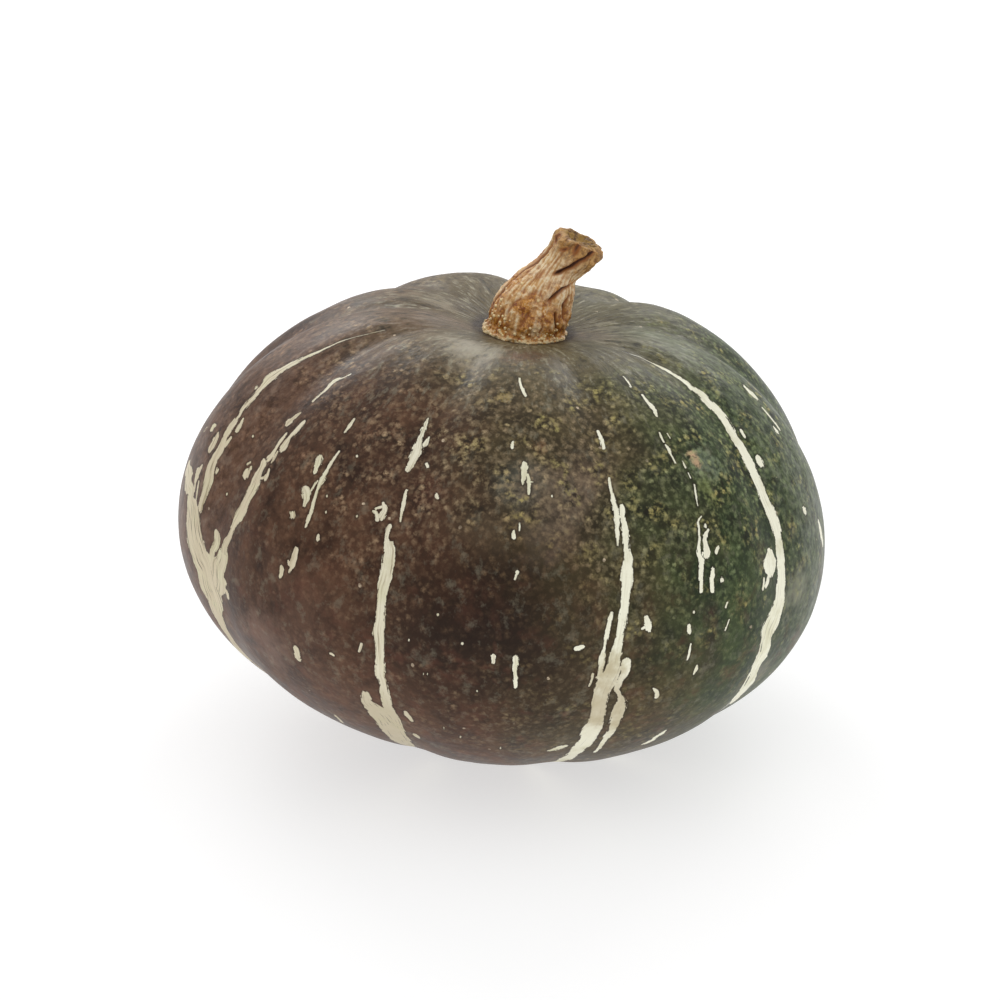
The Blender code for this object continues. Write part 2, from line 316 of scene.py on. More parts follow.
# %% Grow the skin
def grow(name, tree, values, base=None):
    """Runs a tree with these inputs on a mesh, or on nothing, and returns the plain mesh that it makes."""
    seedling = in_the_scene("seedling", base or bpy.data.meshes.new("seedling"))
    modifier = seedling.modifiers.new("tree", "NODES")
    modifier.node_group = tree
    for item in tree.interface.items_tree:
        if item.in_out == "INPUT" and item.name in values:
            modifier[item.identifier] = values[item.name]
    grown = seedling.evaluated_get(bpy.context.evaluated_depsgraph_get())
    mesh = bpy.data.meshes.new_from_object(grown)
    seedling.modifiers.clear()
    bpy.data.objects.remove(seedling)
    mesh.name = name
    return mesh


def rows_of(items, fact):
    """A fact of three numbers, such as a vertex's place, for all items: one row of an array each."""
    flat = np.empty(3 * len(items), np.float32)
    items.foreach_get(fact, flat)
    return flat.reshape(-1, 3)


def corners(mesh):
    """The lowest and highest corner of a mesh, as two rows of an array."""
    places = rows_of(mesh.vertices, "co")
    return np.array([places.min(0), places.max(0)])


free = corners(grow("trial", skin, {**FRUIT, "Place": TRIAL_PLACE}))
box = np.array([tuple(corner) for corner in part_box("fruit")])
middle = (box.mean(0) - free.mean(0))[:2]
place = (float(middle[0]), float(middle[1]), float(TRIAL_PLACE[2] - free[0][2] - REST_FLAT_DEPTH))
fruit_mesh = grow("fruit", skin, {**FRUIT, "Place": place, "Rind": rind})
fruit = in_the_scene("dressed_fruit", fruit_mesh)
FRUIT_CENTRE = Vector(place)
print("fruit's centre in mm:", [round(c * 1000, 2) for c in place])
print("bigger than the packed fruit by mm:", np.round(1000 * (corners(fruit_mesh) - box), 2).tolist())

# %% [markdown]
# ## Where the cream streaks lie
#
# The rind has cream streaks where no chlorophyll formed. Long broken ones lie in the valleys and short flecks dot
# the ribs. The streaks of the front are placed by where the photograph shows their middle lines, with their widths.
# Each place is followed along the camera's ray until it meets the skin, so the streak lies on the fruit from every
# side. A streak is then a middle line on the skin with a half width at each point.

# %% Streaks of the front: (x, y, width) down the middle line, all in pixels of the photograph
FRONT_STREAKS = [
    # far left line, from the shoulder down into the broad patch
    [(385, 330, 0.3), (355, 337, 0.5), (340, 341.5, 1), (320, 351, 2), (300, 360, 3.2), (290, 365, 4), (280, 371, 5.5),
     (275.5, 374, 7.5), (269.5, 378.5, 9), (264.5, 384.5, 6.5), (261, 389, 4.7), (248.5, 402.5, 4.3), (242, 410, 3.5),
     (241, 413, 2.5), (238, 418, 3), (233.5, 423.5, 4.5), (225, 437, 4), (222.5, 442, 6), (220, 450, 7.5),
     (215, 457, 8), (212, 464.5, 8), (210, 471.5, 9), (208.5, 480, 10), (206.5, 486, 8.5), (205, 492, 8),
     (202, 500, 5.5), (199.5, 511, 5)],
    [(217, 467.5, 1), (217.5, 470.5, 3), (216, 473.5, 1.5)],
    [(199, 480, 1), (197.6, 488, 1.6), (196.5, 496, 1.8), (195, 504, 1.2)],
    [(235, 418, 1), (230, 425, 2.5), (225.5, 432.5, 3), (223.5, 436, 1)],
    [(231.5, 437, 1.5), (228, 441.5, 3.5), (224, 447, 4)],
    [(202.5, 465, 1.5), (198, 472.5, 6), (195.6, 480, 3), (195, 486, 1.5), (194, 492, 2)],
    [(188.5, 462, 1.5), (187.5, 468, 5), (188, 476, 10), (188.5, 485, 11), (191.5, 491, 5.5), (190, 500, 7),
     (191, 508, 12), (192, 519, 16.5), (192.5, 528, 17), (193.5, 536.5, 17.5), (195.5, 545, 17.5), (198, 552, 18),
     (200, 559, 17), (204, 566, 18.5), (206.5, 574, 18), (207.5, 581, 17), (209, 588, 16.5), (212, 595, 17),
     (214, 602, 14), (215.5, 610, 10.3), (218.2, 617, 8.2), (221.8, 624, 6), (224.8, 630, 4.8), (229, 636, 3.6),
     (233.2, 642, 3.6), (237.7, 648, 4), (243, 654, 4), (248, 659, 2)],
    [(215.2, 530, 1.5), (216.3, 534, 6), (217.3, 540, 7.5), (216.5, 545, 7), (213, 550, 6), (211.8, 555, 4.5),
     (211.5, 562, 5.5), (213, 568, 8)],
    [(221, 550, 6), (222, 556, 12), (221, 562, 13), (218, 568, 18), (217.6, 574, 19), (218.5, 581, 16.5),
     (217.5, 588, 11), (217, 593, 9)],
    [(226, 590, 2.5), (228, 596, 2.5), (228, 599, 1)],
    # flecks beside it
    [(218.2, 432, 1.5), (216.4, 437, 4), (213.4, 443, 5), (210.4, 449, 5), (209.2, 452.5, 2)],
    [(243.4, 418, 1.5), (239.8, 425, 4), (236.8, 430, 4.5), (235.5, 432, 2)],
    [(216.5, 425.5, 1), (213, 426.5, 3.5), (211.5, 430, 2.5)],
    [(257, 386.5, 2), (255, 389, 1.5)],
    # second line, strands that part and join
    [(305.2, 420.6, 2), (301, 425.5, 4.5), (296, 431, 4.2), (290.2, 437, 3), (286.5, 442.5, 5.5), (283.6, 447, 7),
     (280.6, 450.6, 4)],
    [(287.3, 432.6, 2), (281.8, 439, 3), (276.5, 447, 2), (272.2, 454.8, 4), (267.5, 460.5, 5)],
    [(277.6, 451.2, 1.2), (274.6, 457.2, 3), (271, 463.2, 1)],
    [(263.5, 459, 2.5), (263, 464.5, 6.5), (259.5, 471.5, 5.5), (256.5, 479, 9), (254, 486, 9), (251, 492, 8.5),
     (247.5, 498, 6.8), (245, 504, 8), (242.5, 510, 8.5), (239.5, 514.5, 9), (237.5, 518.4, 8.5), (234, 524.5, 5),
     (231.5, 531.5, 4.5), (228.7, 537.6, 5), (225.4, 543.6, 6.5), (224, 549.6, 7), (224.5, 556, 7)],
    [(269.2, 468.6, 1.2), (267.3, 474, 3.5), (264.5, 479.5, 4)],
    [(265, 477, 2), (260, 478.5, 3)],
    [(301, 412.5, 1), (295, 417, 3), (291.5, 420, 4.5), (288.5, 423, 5.5), (287, 425.5, 3)],
    [(251, 462, 1.5), (247, 464.5, 2.5)],
    [(251, 466.5, 1.5), (250, 470, 3)],
    [(247, 469.5, 4), (246.6, 472, 8), (246.4, 475, 7.5), (246, 478.5, 3)],
    # flecks on the rib between the second line and the third
    [(351, 374, 0.7), (344, 377.5, 1), (336, 380, 2.5), (330, 384.5, 3.6), (326.5, 389.5, 3), (319, 395.5, 1.8),
     (313, 401.5, 2)],
    [(354.5, 418.5, 2), (349.5, 426, 3.5), (345, 432.5, 2)],
    [(319.5, 456, 6), (318, 463, 6.5), (315, 470.4, 5), (314.2, 473.4, 3)],
    [(339.4, 450.6, 1.5), (335.8, 456, 3.5), (331, 463.2, 3.5), (326.8, 471.6, 3), (322, 479, 6.5), (319.5, 484, 4),
     (316.6, 491, 2.5), (313.6, 500.5, 3.5), (310, 514.8, 3.5), (306.4, 524.4, 3), (305.2, 527, 1)],
    [(318, 480, 3), (314, 486, 2), (311, 491, 2)],
    [(304, 486.5, 5), (306.4, 492, 9), (307, 498, 7), (305.2, 503, 5), (304, 507, 3)],
    [(296.5, 548, 4), (295, 555, 5), (293.5, 561, 6), (291, 567.5, 4.5), (288.8, 572.5, 1.5)],
    [(287.5, 560, 2), (289.5, 563, 4), (292, 565, 4)],
    [(281.4, 565.5, 3), (282.2, 571, 4), (280, 577.5, 3.5)],
    [(292, 511.5, 4), (292, 515, 5.5), (292, 518.5, 4)],
    [(318, 534, 4), (317.8, 541, 4.5)],
    [(382.5, 502, 1.5), (383.5, 505, 5), (385.5, 509, 7), (384.5, 512, 5), (382, 516, 7), (380.5, 519.5, 4)],
    [(372.5, 511, 2), (375, 512, 4), (377, 516, 4.5), (377, 521, 3)],
    [(375, 509, 2.5), (379, 507.5, 2.5), (383, 507, 3)],
    [(293, 647.5, 2.5), (295.5, 649, 5.5), (296.5, 653, 5), (298, 658, 5), (299.5, 660.5, 2)],
    [(329.5, 653.5, 2), (332, 653.5, 3), (334.5, 656, 2)],
    [(362, 643, 2.5), (360.5, 648, 2.8), (359, 652, 1.5)],
    [(335, 715, 1), (339, 719, 2.2), (343, 723, 1)],
    # third line, the valley left of the middle
    [(428.3, 418, 1), (425.8, 424, 3.5), (423.2, 431, 5.5), (420, 438, 6), (418.8, 443, 7), (418, 448, 10.5),
     (416.6, 454, 10.5), (413.4, 460, 9), (410.2, 466, 7), (407.2, 471, 5)],
    [(429, 436.5, 1.5), (427.3, 441, 4), (424.5, 446, 5)],
    [(407, 489.5, 2), (405.4, 492.5, 3.5), (404.4, 499.6, 4.5), (402.4, 508, 4), (401.2, 515, 3), (400.4, 522, 1.5)],
    [(390.2, 524.8, 3), (388.3, 530.8, 5.2), (387.2, 536.8, 4), (386.2, 539.8, 5.5), (388.4, 541.6, 7.6),
     (388.2, 547.6, 7.8), (389.8, 549.2, 11), (389.2, 556, 12), (388.5, 563, 12.8), (387.3, 570.4, 12.8),
     (386, 578.8, 12.6), (383.5, 585, 11.2), (382, 590, 9.6), (381.5, 599.6, 9), (380.6, 609, 9.3), (380, 620, 9.4),
     (379, 628.4, 11), (378.3, 631.5, 12.5), (379.3, 635.6, 11.4), (380, 645, 10.4), (380.6, 655, 9), (379.9, 662, 9.6),
     (380.2, 669, 9), (380.7, 676.4, 9), (382.5, 680, 8), (383.8, 686, 6.6), (384.4, 692, 8.8), (385.5, 698, 9.5),
     (387, 705, 10), (390, 712, 10), (394, 719, 10), (398, 727, 9)],
    [(364.4, 691.5, 5), (366.2, 696.8, 9.5), (368, 703.5, 10), (376.4, 710, 14), (384, 717, 20), (390.5, 725.6, 21),
     (395.6, 734, 19), (401.8, 741.2, 14), (409.4, 746.6, 9), (420.6, 750.2, 3)],
    [(404.6, 711, 2.5), (408.2, 716, 4.5), (412.4, 721.4, 2.5)],
    [(415, 734, 3), (417, 736.5, 5), (418.5, 738, 3)],
    # flecks down the middle rib
    [(519.4, 378, 2), (520.5, 384, 3), (522.8, 390.5, 3.3), (525.8, 396.5, 2)],
    [(512.8, 440.8, 2.5), (512.4, 444.4, 3.5), (512.2, 448.5, 2)],
    [(525, 461.5, 3), (524, 465, 7), (524, 471, 7.5), (522.8, 477, 5.5), (522.5, 481, 4.5), (522.5, 485, 2)],
    [(527, 474, 3), (528.5, 480, 3.5), (528.8, 488, 3.6), (528.3, 494.5, 2)],
    [(529, 482, 3), (533.5, 482, 1)],
    [(519.6, 522, 1.5), (519.3, 531, 2)],
    [(513.2, 530, 2.5), (513.4, 534, 4), (514, 538.8, 3.5)],
    [(517.6, 571, 3), (516.4, 576, 3.5), (514.5, 580, 1.5)],
    [(515.5, 656, 5), (516, 662, 6), (514.5, 670, 5), (516, 680, 5), (516, 688, 3)],
    [(493.4, 655, 5), (493.6, 660, 5), (493, 663.5, 3)],
    [(436, 494, 4), (437.5, 497, 5), (438.5, 499, 3)],
    [(426, 463, 3), (427.5, 465, 4.5), (428, 468, 2.5)],
    [(575, 648.5, 4), (579, 648, 5.5), (584, 646, 3)],
    [(567, 746, 2), (562, 747, 4), (555, 749, 3.5), (548, 751, 1)],
    # fourth line, the valley right of the middle
    [(597.8, 430.6, 1.8), (601, 438, 3.6), (603.6, 445.3, 4.8), (604, 449.5, 3)],
    [(609, 477.5, 2.8), (610.6, 487, 3.5), (612, 496, 4), (613.8, 502, 4.5), (615.5, 508, 6), (617, 514, 7),
     (618, 520, 7), (617.8, 526, 4.8), (617.5, 532, 3.6), (617.5, 538, 3), (617.4, 546, 1.5)],
    [(621.7, 505, 4), (622.3, 510, 5), (622.3, 515, 6), (622.8, 520, 6), (624.1, 525.6, 5), (625.4, 534, 7),
     (625.7, 542.4, 7), (626.3, 551, 7), (627.4, 555.6, 9), (627.5, 561.6, 10), (627, 566.4, 9.4), (627.4, 572.4, 11),
     (627, 578.4, 12.6), (626.3, 585.6, 11.8), (625.6, 592, 10.4), (624.6, 599, 8.6), (623.6, 609, 8.4),
     (622.8, 616.4, 8.4), (621.9, 623.6, 7.8), (620.7, 631, 7.6), (619.5, 638, 8), (617.6, 645, 9.4),
     (616.2, 652.4, 11), (615, 658, 12), (614.5, 664, 13), (612.5, 670, 15), (610, 676, 17), (607, 681, 17),
     (604.5, 686, 16), (601.5, 692, 15), (600, 700, 15.5), (598.4, 707.6, 13), (597.8, 713.6, 14),
     (596.2, 719.6, 16), (595, 724.4, 16.5), (591.2, 729.8, 17), (589, 735, 16), (587, 740, 14), (581.4, 746, 12.5),
     (575.6, 752, 9.5), (568.4, 757.4, 5), (555.5, 761.6, 1)],
    [(625.5, 659, 8), (626.5, 664, 11), (626.3, 670, 11.5), (624.5, 675, 8), (621, 680, 6.5), (618, 685, 5),
     (616.5, 689.5, 4.5), (618.2, 693, 3), (620.8, 698, 7.8), (621.2, 701.6, 9.4), (619.7, 707.6, 11.8),
     (618.2, 712.4, 12.2), (616.4, 719.6, 11.2), (614.2, 725.6, 9), (611.8, 731.6, 6.3), (606.8, 737, 6),
     (603.4, 742.4, 4.5), (600, 747, 3), (594.5, 752.3, 2)],
    [(612.2, 611.5, 2.5), (610.2, 617.6, 4.5), (608.6, 626, 4.8), (606.8, 634.4, 4.8), (605, 642.8, 3.6),
     (604, 650, 4.2), (602.7, 653, 6), (601.8, 659.6, 5.6), (600.8, 667, 5.5), (600.5, 673, 7), (600, 680, 9)],
    [(593, 673.5, 2.3), (591.8, 680, 2), (588.8, 686.5, 1.2)],
    # flecks on the rib between the fourth line and the fifth
    [(623, 376, 1.5), (627, 380.5, 2.3), (631.5, 387.5, 1.5)],
    [(642, 394.5, 1.3), (647, 401.5, 2.2), (651, 406, 5), (654, 410, 4.5), (655.5, 413, 2), (657, 416.5, 1.5)],
    [(659, 432, 1.5), (661.5, 438, 3.2), (663.8, 442.5, 1.5)],
    [(665.5, 444.5, 1), (669, 449, 3), (671, 455, 1.8), (675.5, 463.5, 1.3)],
    [(667, 433, 1.5), (669, 436, 3), (670.5, 438.5, 1)],
    [(682, 460.5, 1), (686, 468, 1.8)],
    [(688, 472.5, 1), (691, 478.5, 1.6)],
    [(694.2, 484, 1.3), (696, 496.8, 2), (697.8, 506, 1.3)],
    [(701.4, 516, 1), (697.8, 520.8, 2), (699, 528, 2.5), (699.6, 537.6, 2.5), (699, 544, 3), (698.2, 551, 4),
     (700, 557, 5), (702.2, 561, 6), (701.6, 567, 5), (701.4, 576, 4.8), (701.2, 585.6, 4.4), (701, 592, 4)],
    [(708.6, 529.2, 1.2), (705, 535.2, 3.8), (704.2, 540, 5), (705.4, 546, 5.5), (707, 551, 7), (705.5, 556.5, 8)],
    [(713.4, 568, 3), (712, 573.6, 5.2), (712.1, 582, 5.8), (712.4, 588, 5), (712.8, 592.2, 3.6)],
    [(719, 546, 1.5), (717, 550, 4.5), (716, 553, 3)],
    [(705.5, 523.5, 3), (705.5, 528, 3)],
    [(722, 577.5, 3), (722.7, 582, 4)],
    [(645.5, 616.5, 4), (648, 621, 7.5), (649.5, 626, 9), (648, 630.5, 5)],
    [(641.5, 629, 1.5), (645, 627.5, 3)],
    [(689, 624.5, 2.5), (688.7, 628, 4.3), (690, 633.5, 3.5)],
    [(690.6, 643.5, 1.5), (690, 649, 2.5), (689, 655, 3.2), (687, 660.5, 1)],
    [(697, 665, 1.5), (696, 669, 4), (693.5, 674.5, 1.5)],
    [(653, 688, 1.5), (656, 691, 4.5), (657, 695, 5), (655.5, 698, 3)],
    [(727.5, 602, 1.5), (725.5, 608, 2)],
    [(729.5, 619, 1.2), (727.5, 624, 2.6), (725, 631, 1)],
    [(666, 730, 1), (662, 733.5, 2.5), (656, 737, 3.3), (651, 741, 2.5), (643, 744.5, 1.5)],
    # fifth line, the long one of the right, with the patch beside it
    [(622, 351.5, 0.3), (640, 357, 0.4), (655, 364.5, 0.8), (660, 366.8, 1.8), (670, 372.2, 2.6), (680, 378.2, 3),
     (687, 383, 2.6), (690, 386, 4.2), (696, 391, 4.6), (700, 393, 6.2), (710, 403.5, 7), (720, 413.6, 7),
     (726.8, 423.2, 7), (732.8, 434, 7.5), (740, 446, 8), (746, 456.8, 8), (751.4, 467.6, 8.5), (756.8, 479.6, 8.5),
     (761.5, 490, 8.5), (765.2, 501.2, 9), (770, 510.8, 9.5), (774, 520.4, 9.6), (776.6, 529.8, 8.4), (778.7, 540, 7),
     (779.1, 550, 8.6), (780.7, 560, 8), (781, 570.4, 7.4), (781.1, 580.2, 9), (780.6, 590, 9.2), (779.5, 602, 9.8),
     (777.7, 608.7, 11), (775.4, 615, 12.2), (773.5, 621, 12.4), (770.5, 626.2, 13.6), (769, 630, 14.2),
     (768.4, 633.5, 11.5), (767, 640, 8.8), (765.8, 646.3, 8), (764.5, 651.5, 7.8), (761.5, 657, 10), (758.6, 662, 9.2),
     (756.3, 667.5, 7.3), (753.3, 675, 6), (749.3, 682.5, 6), (743.6, 690, 6.6), (738.3, 696.3, 4.8),
     (732.8, 702.5, 2.2)],
    [(763.5, 634, 3), (761.9, 640, 2.2), (760.7, 646, 1.6), (759.4, 652, 1.6), (757.5, 657, 3)],
    [(751.5, 671, 1.8), (747.3, 678, 1.6), (743.6, 685, 1.8), (740.6, 690, 2)],
    [(768, 549.5, 2), (769.5, 553, 7), (770, 558, 12), (770, 564, 13.5), (770.5, 570, 12), (771, 575, 7)],
    [(764, 578, 2), (763.5, 585, 2.5), (762.5, 590, 1.5)],
    [(768.5, 577, 3), (767.5, 583, 3), (765, 588, 2.5)],
    # flecks beyond the fifth line
    [(744, 385.5, 1.5), (748, 390, 3.3), (753, 395, 3.6), (757.5, 399.5, 2)],
    [(762.2, 407.5, 0.8), (770, 417, 1.5), (777, 425.5, 1.5), (780, 430, 0.8)],
    [(773.5, 426.5, 1.5), (776, 430, 3.2), (778, 433, 2)],
    [(740.5, 429.5, 1.5), (742.5, 432.5, 3.5), (745.5, 437.5, 2)],
    [(757.5, 455.5, 3), (758.5, 460, 6), (761, 464, 6.3), (762, 467.5, 4)],
    [(805, 508.5, 4), (804.8, 513.5, 5)],
    [(818, 520, 1.2), (820.5, 530, 2.5), (823, 545, 1.5)],
]
BRIGHT_POINTS = [               # x, y and width of the smallest flecks, no longer than they are wide
    (438, 614.5, 2.2), (462.5, 643.5, 2.2), (477, 691, 2), (423.5, 674, 1.2), (427.5, 674, 1.2), (409, 640, 1.2),
    (460.5, 737, 1.2), (444, 728, 1.2), (500.6, 748, 1.2), (253, 436, 1.3), (227, 494, 1.3), (327, 496, 1.4),
    (326, 512, 1.4), (357, 456, 1.6), (357, 516, 1.6), (552, 496, 1.3), (694, 612, 1.8),
]
FRONT_STREAKS += [[(x, y - 1, width), (x, y + 1, width)] for x, y, width in BRIGHT_POINTS]
SHORT_STEP = 4                  # points of a streak are at most this many pixels apart
print(len(FRONT_STREAKS), "streaks seen from the front")

# %% Streaks on the skin
skin_tree = BVHTree.FromPolygons([v.co for v in fruit_mesh.vertices], [p.vertices for p in fruit_mesh.polygons])


def on_skin(start, direction):
    """The place where a ray meets the skin, or None."""
    return skin_tree.ray_cast(start, direction)[0]


def seen_at(x, y):
    """The place on the skin that the photograph shows at these pixels, or None."""
    return on_skin(camera.location, photo_ray(x, y))


def streak_from_photo(places):
    """Points on the skin and half widths for a streak given in the photograph."""
    rows = np.array(places, float)
    steps = np.maximum(np.ceil(np.hypot(*np.diff(rows[:, :2], axis=0).T) / SHORT_STEP), 1).astype(int)
    line = [rows[0]]
    for here, (start, end) in enumerate(zip(rows, rows[1:])):
        line += [start + (end - start) * step / steps[here] for step in range(1, steps[here] + 1)]
    seen = []
    for here, (x, y, width) in enumerate(line):
        before, after = line[max(here - 1, 0)], line[min(here + 1, len(line) - 1)]
        run = np.array([after[0] - before[0], after[1] - before[1]])
        sideways = np.array([-run[1], run[0]]) / np.linalg.norm(run) * width / 2
        left, middle, right = (seen_at(x + k * sideways[0], y + k * sideways[1]) for k in (-1, 0, 1))
        if middle is not None:
            seen.append((middle, [edge - middle for edge in (left, right) if edge is not None]))
    halves = []
    for here, (middle, reaches) in enumerate(seen):
        way = (seen[min(here + 1, len(seen) - 1)][0] - seen[max(here - 1, 0)][0]).normalized()
        halves.append(min((reach - reach.dot(way) * way).length for reach in reaches))
    return np.array([middle for middle, reaches in seen]), np.array(halves)


streaks = [streak_from_photo(places) for places in FRONT_STREAKS]
print("longest streak's points:", max(len(points) for points, halves in streaks))

# %% [markdown]
# The sides that the photograph doesn't show get streaks of the same habit, placed by a rule with a fixed seed: in
# each valley a long streak in several pieces, and flecks along the ribs. They keep to the part of the skin that the
# camera doesn't see. The front's long streaks also run on below, towards the blossom end.

# %% Streaks of the other sides
chance = np.random.default_rng(9)
TILT = Matrix.Rotation(FRUIT["Lean"], 3, "Y")
HIDDEN_VALLEYS = {95: 86, 138: 40, 179: 36, -131: 42, -97: 86}    # azimuth, and how far down the camera's view ends
HIDDEN_CRESTS = {116: 62, 158: 40, -156: 42, -114: 66}
LAST_VALLEY, LAST_CREST = 150, 138     # how far down the streaks of a valley and the flecks of a rib may go
FLECKS, FLECK_SPREAD = 14, 6           # on each rib, and how far from its crest they lie, in degrees
DEGREES_APART = 2.5                    # between the points of a streak
THINNEST, THICKEST = 0.7, 1.25         # by how much a streak's width wanders
CARRIED_ON = [(397, 738, 1.9), (577, 750, 1.6), (741, 691, 1.0), (236, 645, 0.8)]   # pixels, half width in mm


def skin_at(degrees_round, degrees_down):
    """The skin's place at an azimuth and an angle down from the stem."""
    turn, fall = math.radians(degrees_round), math.radians(degrees_down)
    out = Vector((math.sin(fall) * math.sin(turn), -math.sin(fall) * math.cos(turn), math.cos(fall)))
    return on_skin(FRUIT_CENTRE, TILT @ out)


def angles_of(point):
    """The azimuth and the angle down, in degrees, at which skin_at finds a place."""
    out = TILT.inverted() @ (point - FRUIT_CENTRE)
    return math.degrees(math.atan2(out.x, -out.y)), math.degrees(math.acos(out.z / out.length))


def grown_streak(degrees_round, top, bottom, half_mm, wander=1.2, taper=0.35):
    """A streak that runs down from one angle to another, wandering a little and tapering at its ends."""
    count = max(3, int((bottom - top) / DEGREES_APART))
    falls = np.linspace(top, bottom, count)
    drift = np.cumsum(chance.normal(0, wander / 4, count))
    ends = np.minimum(np.linspace(0, 1, count), np.linspace(1, 0, count)) / taper
    halves = half_mm * MM * np.clip(ends, 0.25, 1) * chance.uniform(THINNEST, THICKEST, count)
    points = [skin_at(degrees_round + sway / max(math.sin(math.radians(fall)), 0.3), fall)
              for fall, sway in zip(falls, drift)]
    keep = [here for here, point in enumerate(points) if point is not None and point.z > 0.02 * MM]
    return np.array([points[here] for here in keep]), halves[keep]


def fill_valley(azimuth, first, last, wide):
    """A long streak in pieces, with a strand beside it here and there."""
    top = first
    while top < last - 6:
        bottom = min(top + chance.uniform(16, 50), last)
        half = wide * chance.uniform(0.5, 1.2)
        streaks.append(grown_streak(azimuth + chance.normal(0, 0.8), top, bottom, half))
        if chance.random() < 0.6:
            start = top + chance.uniform(0.1, 0.6) * (bottom - top)
            aside = chance.choice((-1, 1)) * chance.uniform(1.4, 2.6)
            streaks.append(grown_streak(azimuth + aside, start, start + chance.uniform(8, 18), half * 0.5))
        top = bottom + chance.uniform(-3, 8)


def fleck_rib(azimuth, spread, first, last, count):
    """Flecks scattered along a rib."""
    for fall in chance.uniform(first, last, count):
        length = chance.choice((2.5, 4, 7, 12), p=(0.4, 0.3, 0.2, 0.1))
        streaks.append(grown_streak(azimuth + chance.normal(0, spread), fall, fall + length,
                                    chance.uniform(0.3, 0.75), taper=0.5))


for azimuth, first in HIDDEN_VALLEYS.items():
    fill_valley(azimuth, first + chance.uniform(0, 14), LAST_VALLEY, chance.uniform(0.8, 1.5))
for azimuth, first in HIDDEN_CRESTS.items():
    fleck_rib(azimuth, FLECK_SPREAD, first, LAST_CREST, FLECKS)
for x, y, half_mm in CARRIED_ON:
    turn, fall = angles_of(seen_at(x, y))
    streaks.append(grown_streak(turn, fall, LAST_VALLEY, half_mm, taper=0.12))
streaks = [(points, halves) for points, halves in streaks if len(points) > 1]
print(len(streaks), "streaks in all")

# %% [markdown]
# A shader can draw a streak with a crisp, ragged edge, however coarse the mesh, if it knows for each place how far
# across and along a streak it is. So every face is given its two nearest streaks. For each of the two, its corners
# keep two maps: the distance across and along the streak, and its half width there and whole length, all in
# millimetres. With two streaks to a face, strands that run side by side keep the thin gap between them.

# %% Map the streaks onto the skin
FAR = 14 * MM                    # a face further than this from any streak is left plain
OFF_STREAK, NO_WIDTH = 60.0, -40.0    # what a plain face's corners keep, in millimetres: far off, and no width
count = len(fruit_mesh.polygons)
loops = np.empty(len(fruit_mesh.loops), np.int32)
fruit_mesh.loops.foreach_get("vertex_index", loops)
vertices = rows_of(fruit_mesh.vertices, "co").astype(float)
centres = rows_of(fruit_mesh.polygons, "center").astype(float)
face_of = np.repeat(np.arange(count), [len(p.vertices) for p in fruit_mesh.polygons])


def against(points, halves, places):
    """For each place: distance across the streak (signed) and along it, its half width there, and the gap to it."""
    runs = points[1:] - points[:-1]
    lengths = np.linalg.norm(runs, axis=1)
    starts = np.concatenate([[0], np.cumsum(lengths)])
    ways = runs / lengths[:, None]
    outs = (points[1:] + points[:-1]) / 2 - np.array(FRUIT_CENTRE)
    sides = np.cross(outs, ways)
    sides /= np.linalg.norm(sides, axis=1)[:, None]
    offset = places[:, None, :] - points[None, :-1, :]
    t = np.einsum("psk,sk->ps", offset, ways)
    within = np.clip(t, 0, lengths)
    gap = np.linalg.norm(places[:, None, :] - points[None, :-1, :] - within[..., None] * ways[None], axis=2)
    best = gap.argmin(1)
    rows = np.arange(len(places))
    t, within, gap = t[rows, best], within[rows, best], gap[rows, best]
    turned = np.einsum("pk,pk->p", places - points[best], sides[best])
    before = (best == 0) & (t < 0)
    after = (best == len(lengths) - 1) & (t > lengths[best])
    across = np.where(before | after, turned, np.sign(turned) * gap)
    along = starts[best] + np.where(before | after, t, within)
    half = halves[best] + (halves[best + 1] - halves[best]) * within / lengths[best]
    return across, along, half, gap, starts[-1]


near = np.full((count, 2), np.inf)
owner = np.full((count, 2), -1)
for number, (points, halves) in enumerate(streaks):
    low, high = points.min(0) - FAR, points.max(0) + FAR
    close = np.flatnonzero(((centres > low) & (centres < high)).all(1))
    across, along, half, gap, length = against(points, halves, centres[close])
    edge = np.maximum(np.abs(across) - half, np.maximum(-along, along - length))
    nearest = (edge < near[close, 0]) & (gap < FAR)
    second = (edge < near[close, 1]) & (gap < FAR) & ~nearest
    moved = close[nearest]
    near[moved, 1], owner[moved, 1] = near[moved, 0], owner[moved, 0]
    near[moved, 0], owner[moved, 0] = edge[nearest], number
    near[close[second], 1], owner[close[second], 1] = edge[second], number

for rank, name in enumerate(("nearest", "second")):
    place_map = np.full((len(loops), 2), OFF_STREAK)
    size_map = np.full((len(loops), 2), NO_WIDTH)
    corner_owner = owner[face_of, rank]
    for number in np.unique(owner[:, rank][owner[:, rank] >= 0]):
        mine = np.flatnonzero(corner_owner == number)
        across, along, half, gap, length = against(*streaks[number], vertices[loops[mine]])
        place_map[mine] = np.stack([across, along], 1) / MM
        size_map[mine] = np.stack([half, np.full(len(half), length)], 1) / MM
    for kind, values in (("place", place_map), ("size", size_map)):
        streak_map = fruit_mesh.uv_layers.new(name=name + "_streak_" + kind)
        streak_map.uv.foreach_set("vector", values.astype(np.float32).ravel())
print(round(100 * (near[:, 0] < 0).mean(), 1), "percent of the skin is streak")
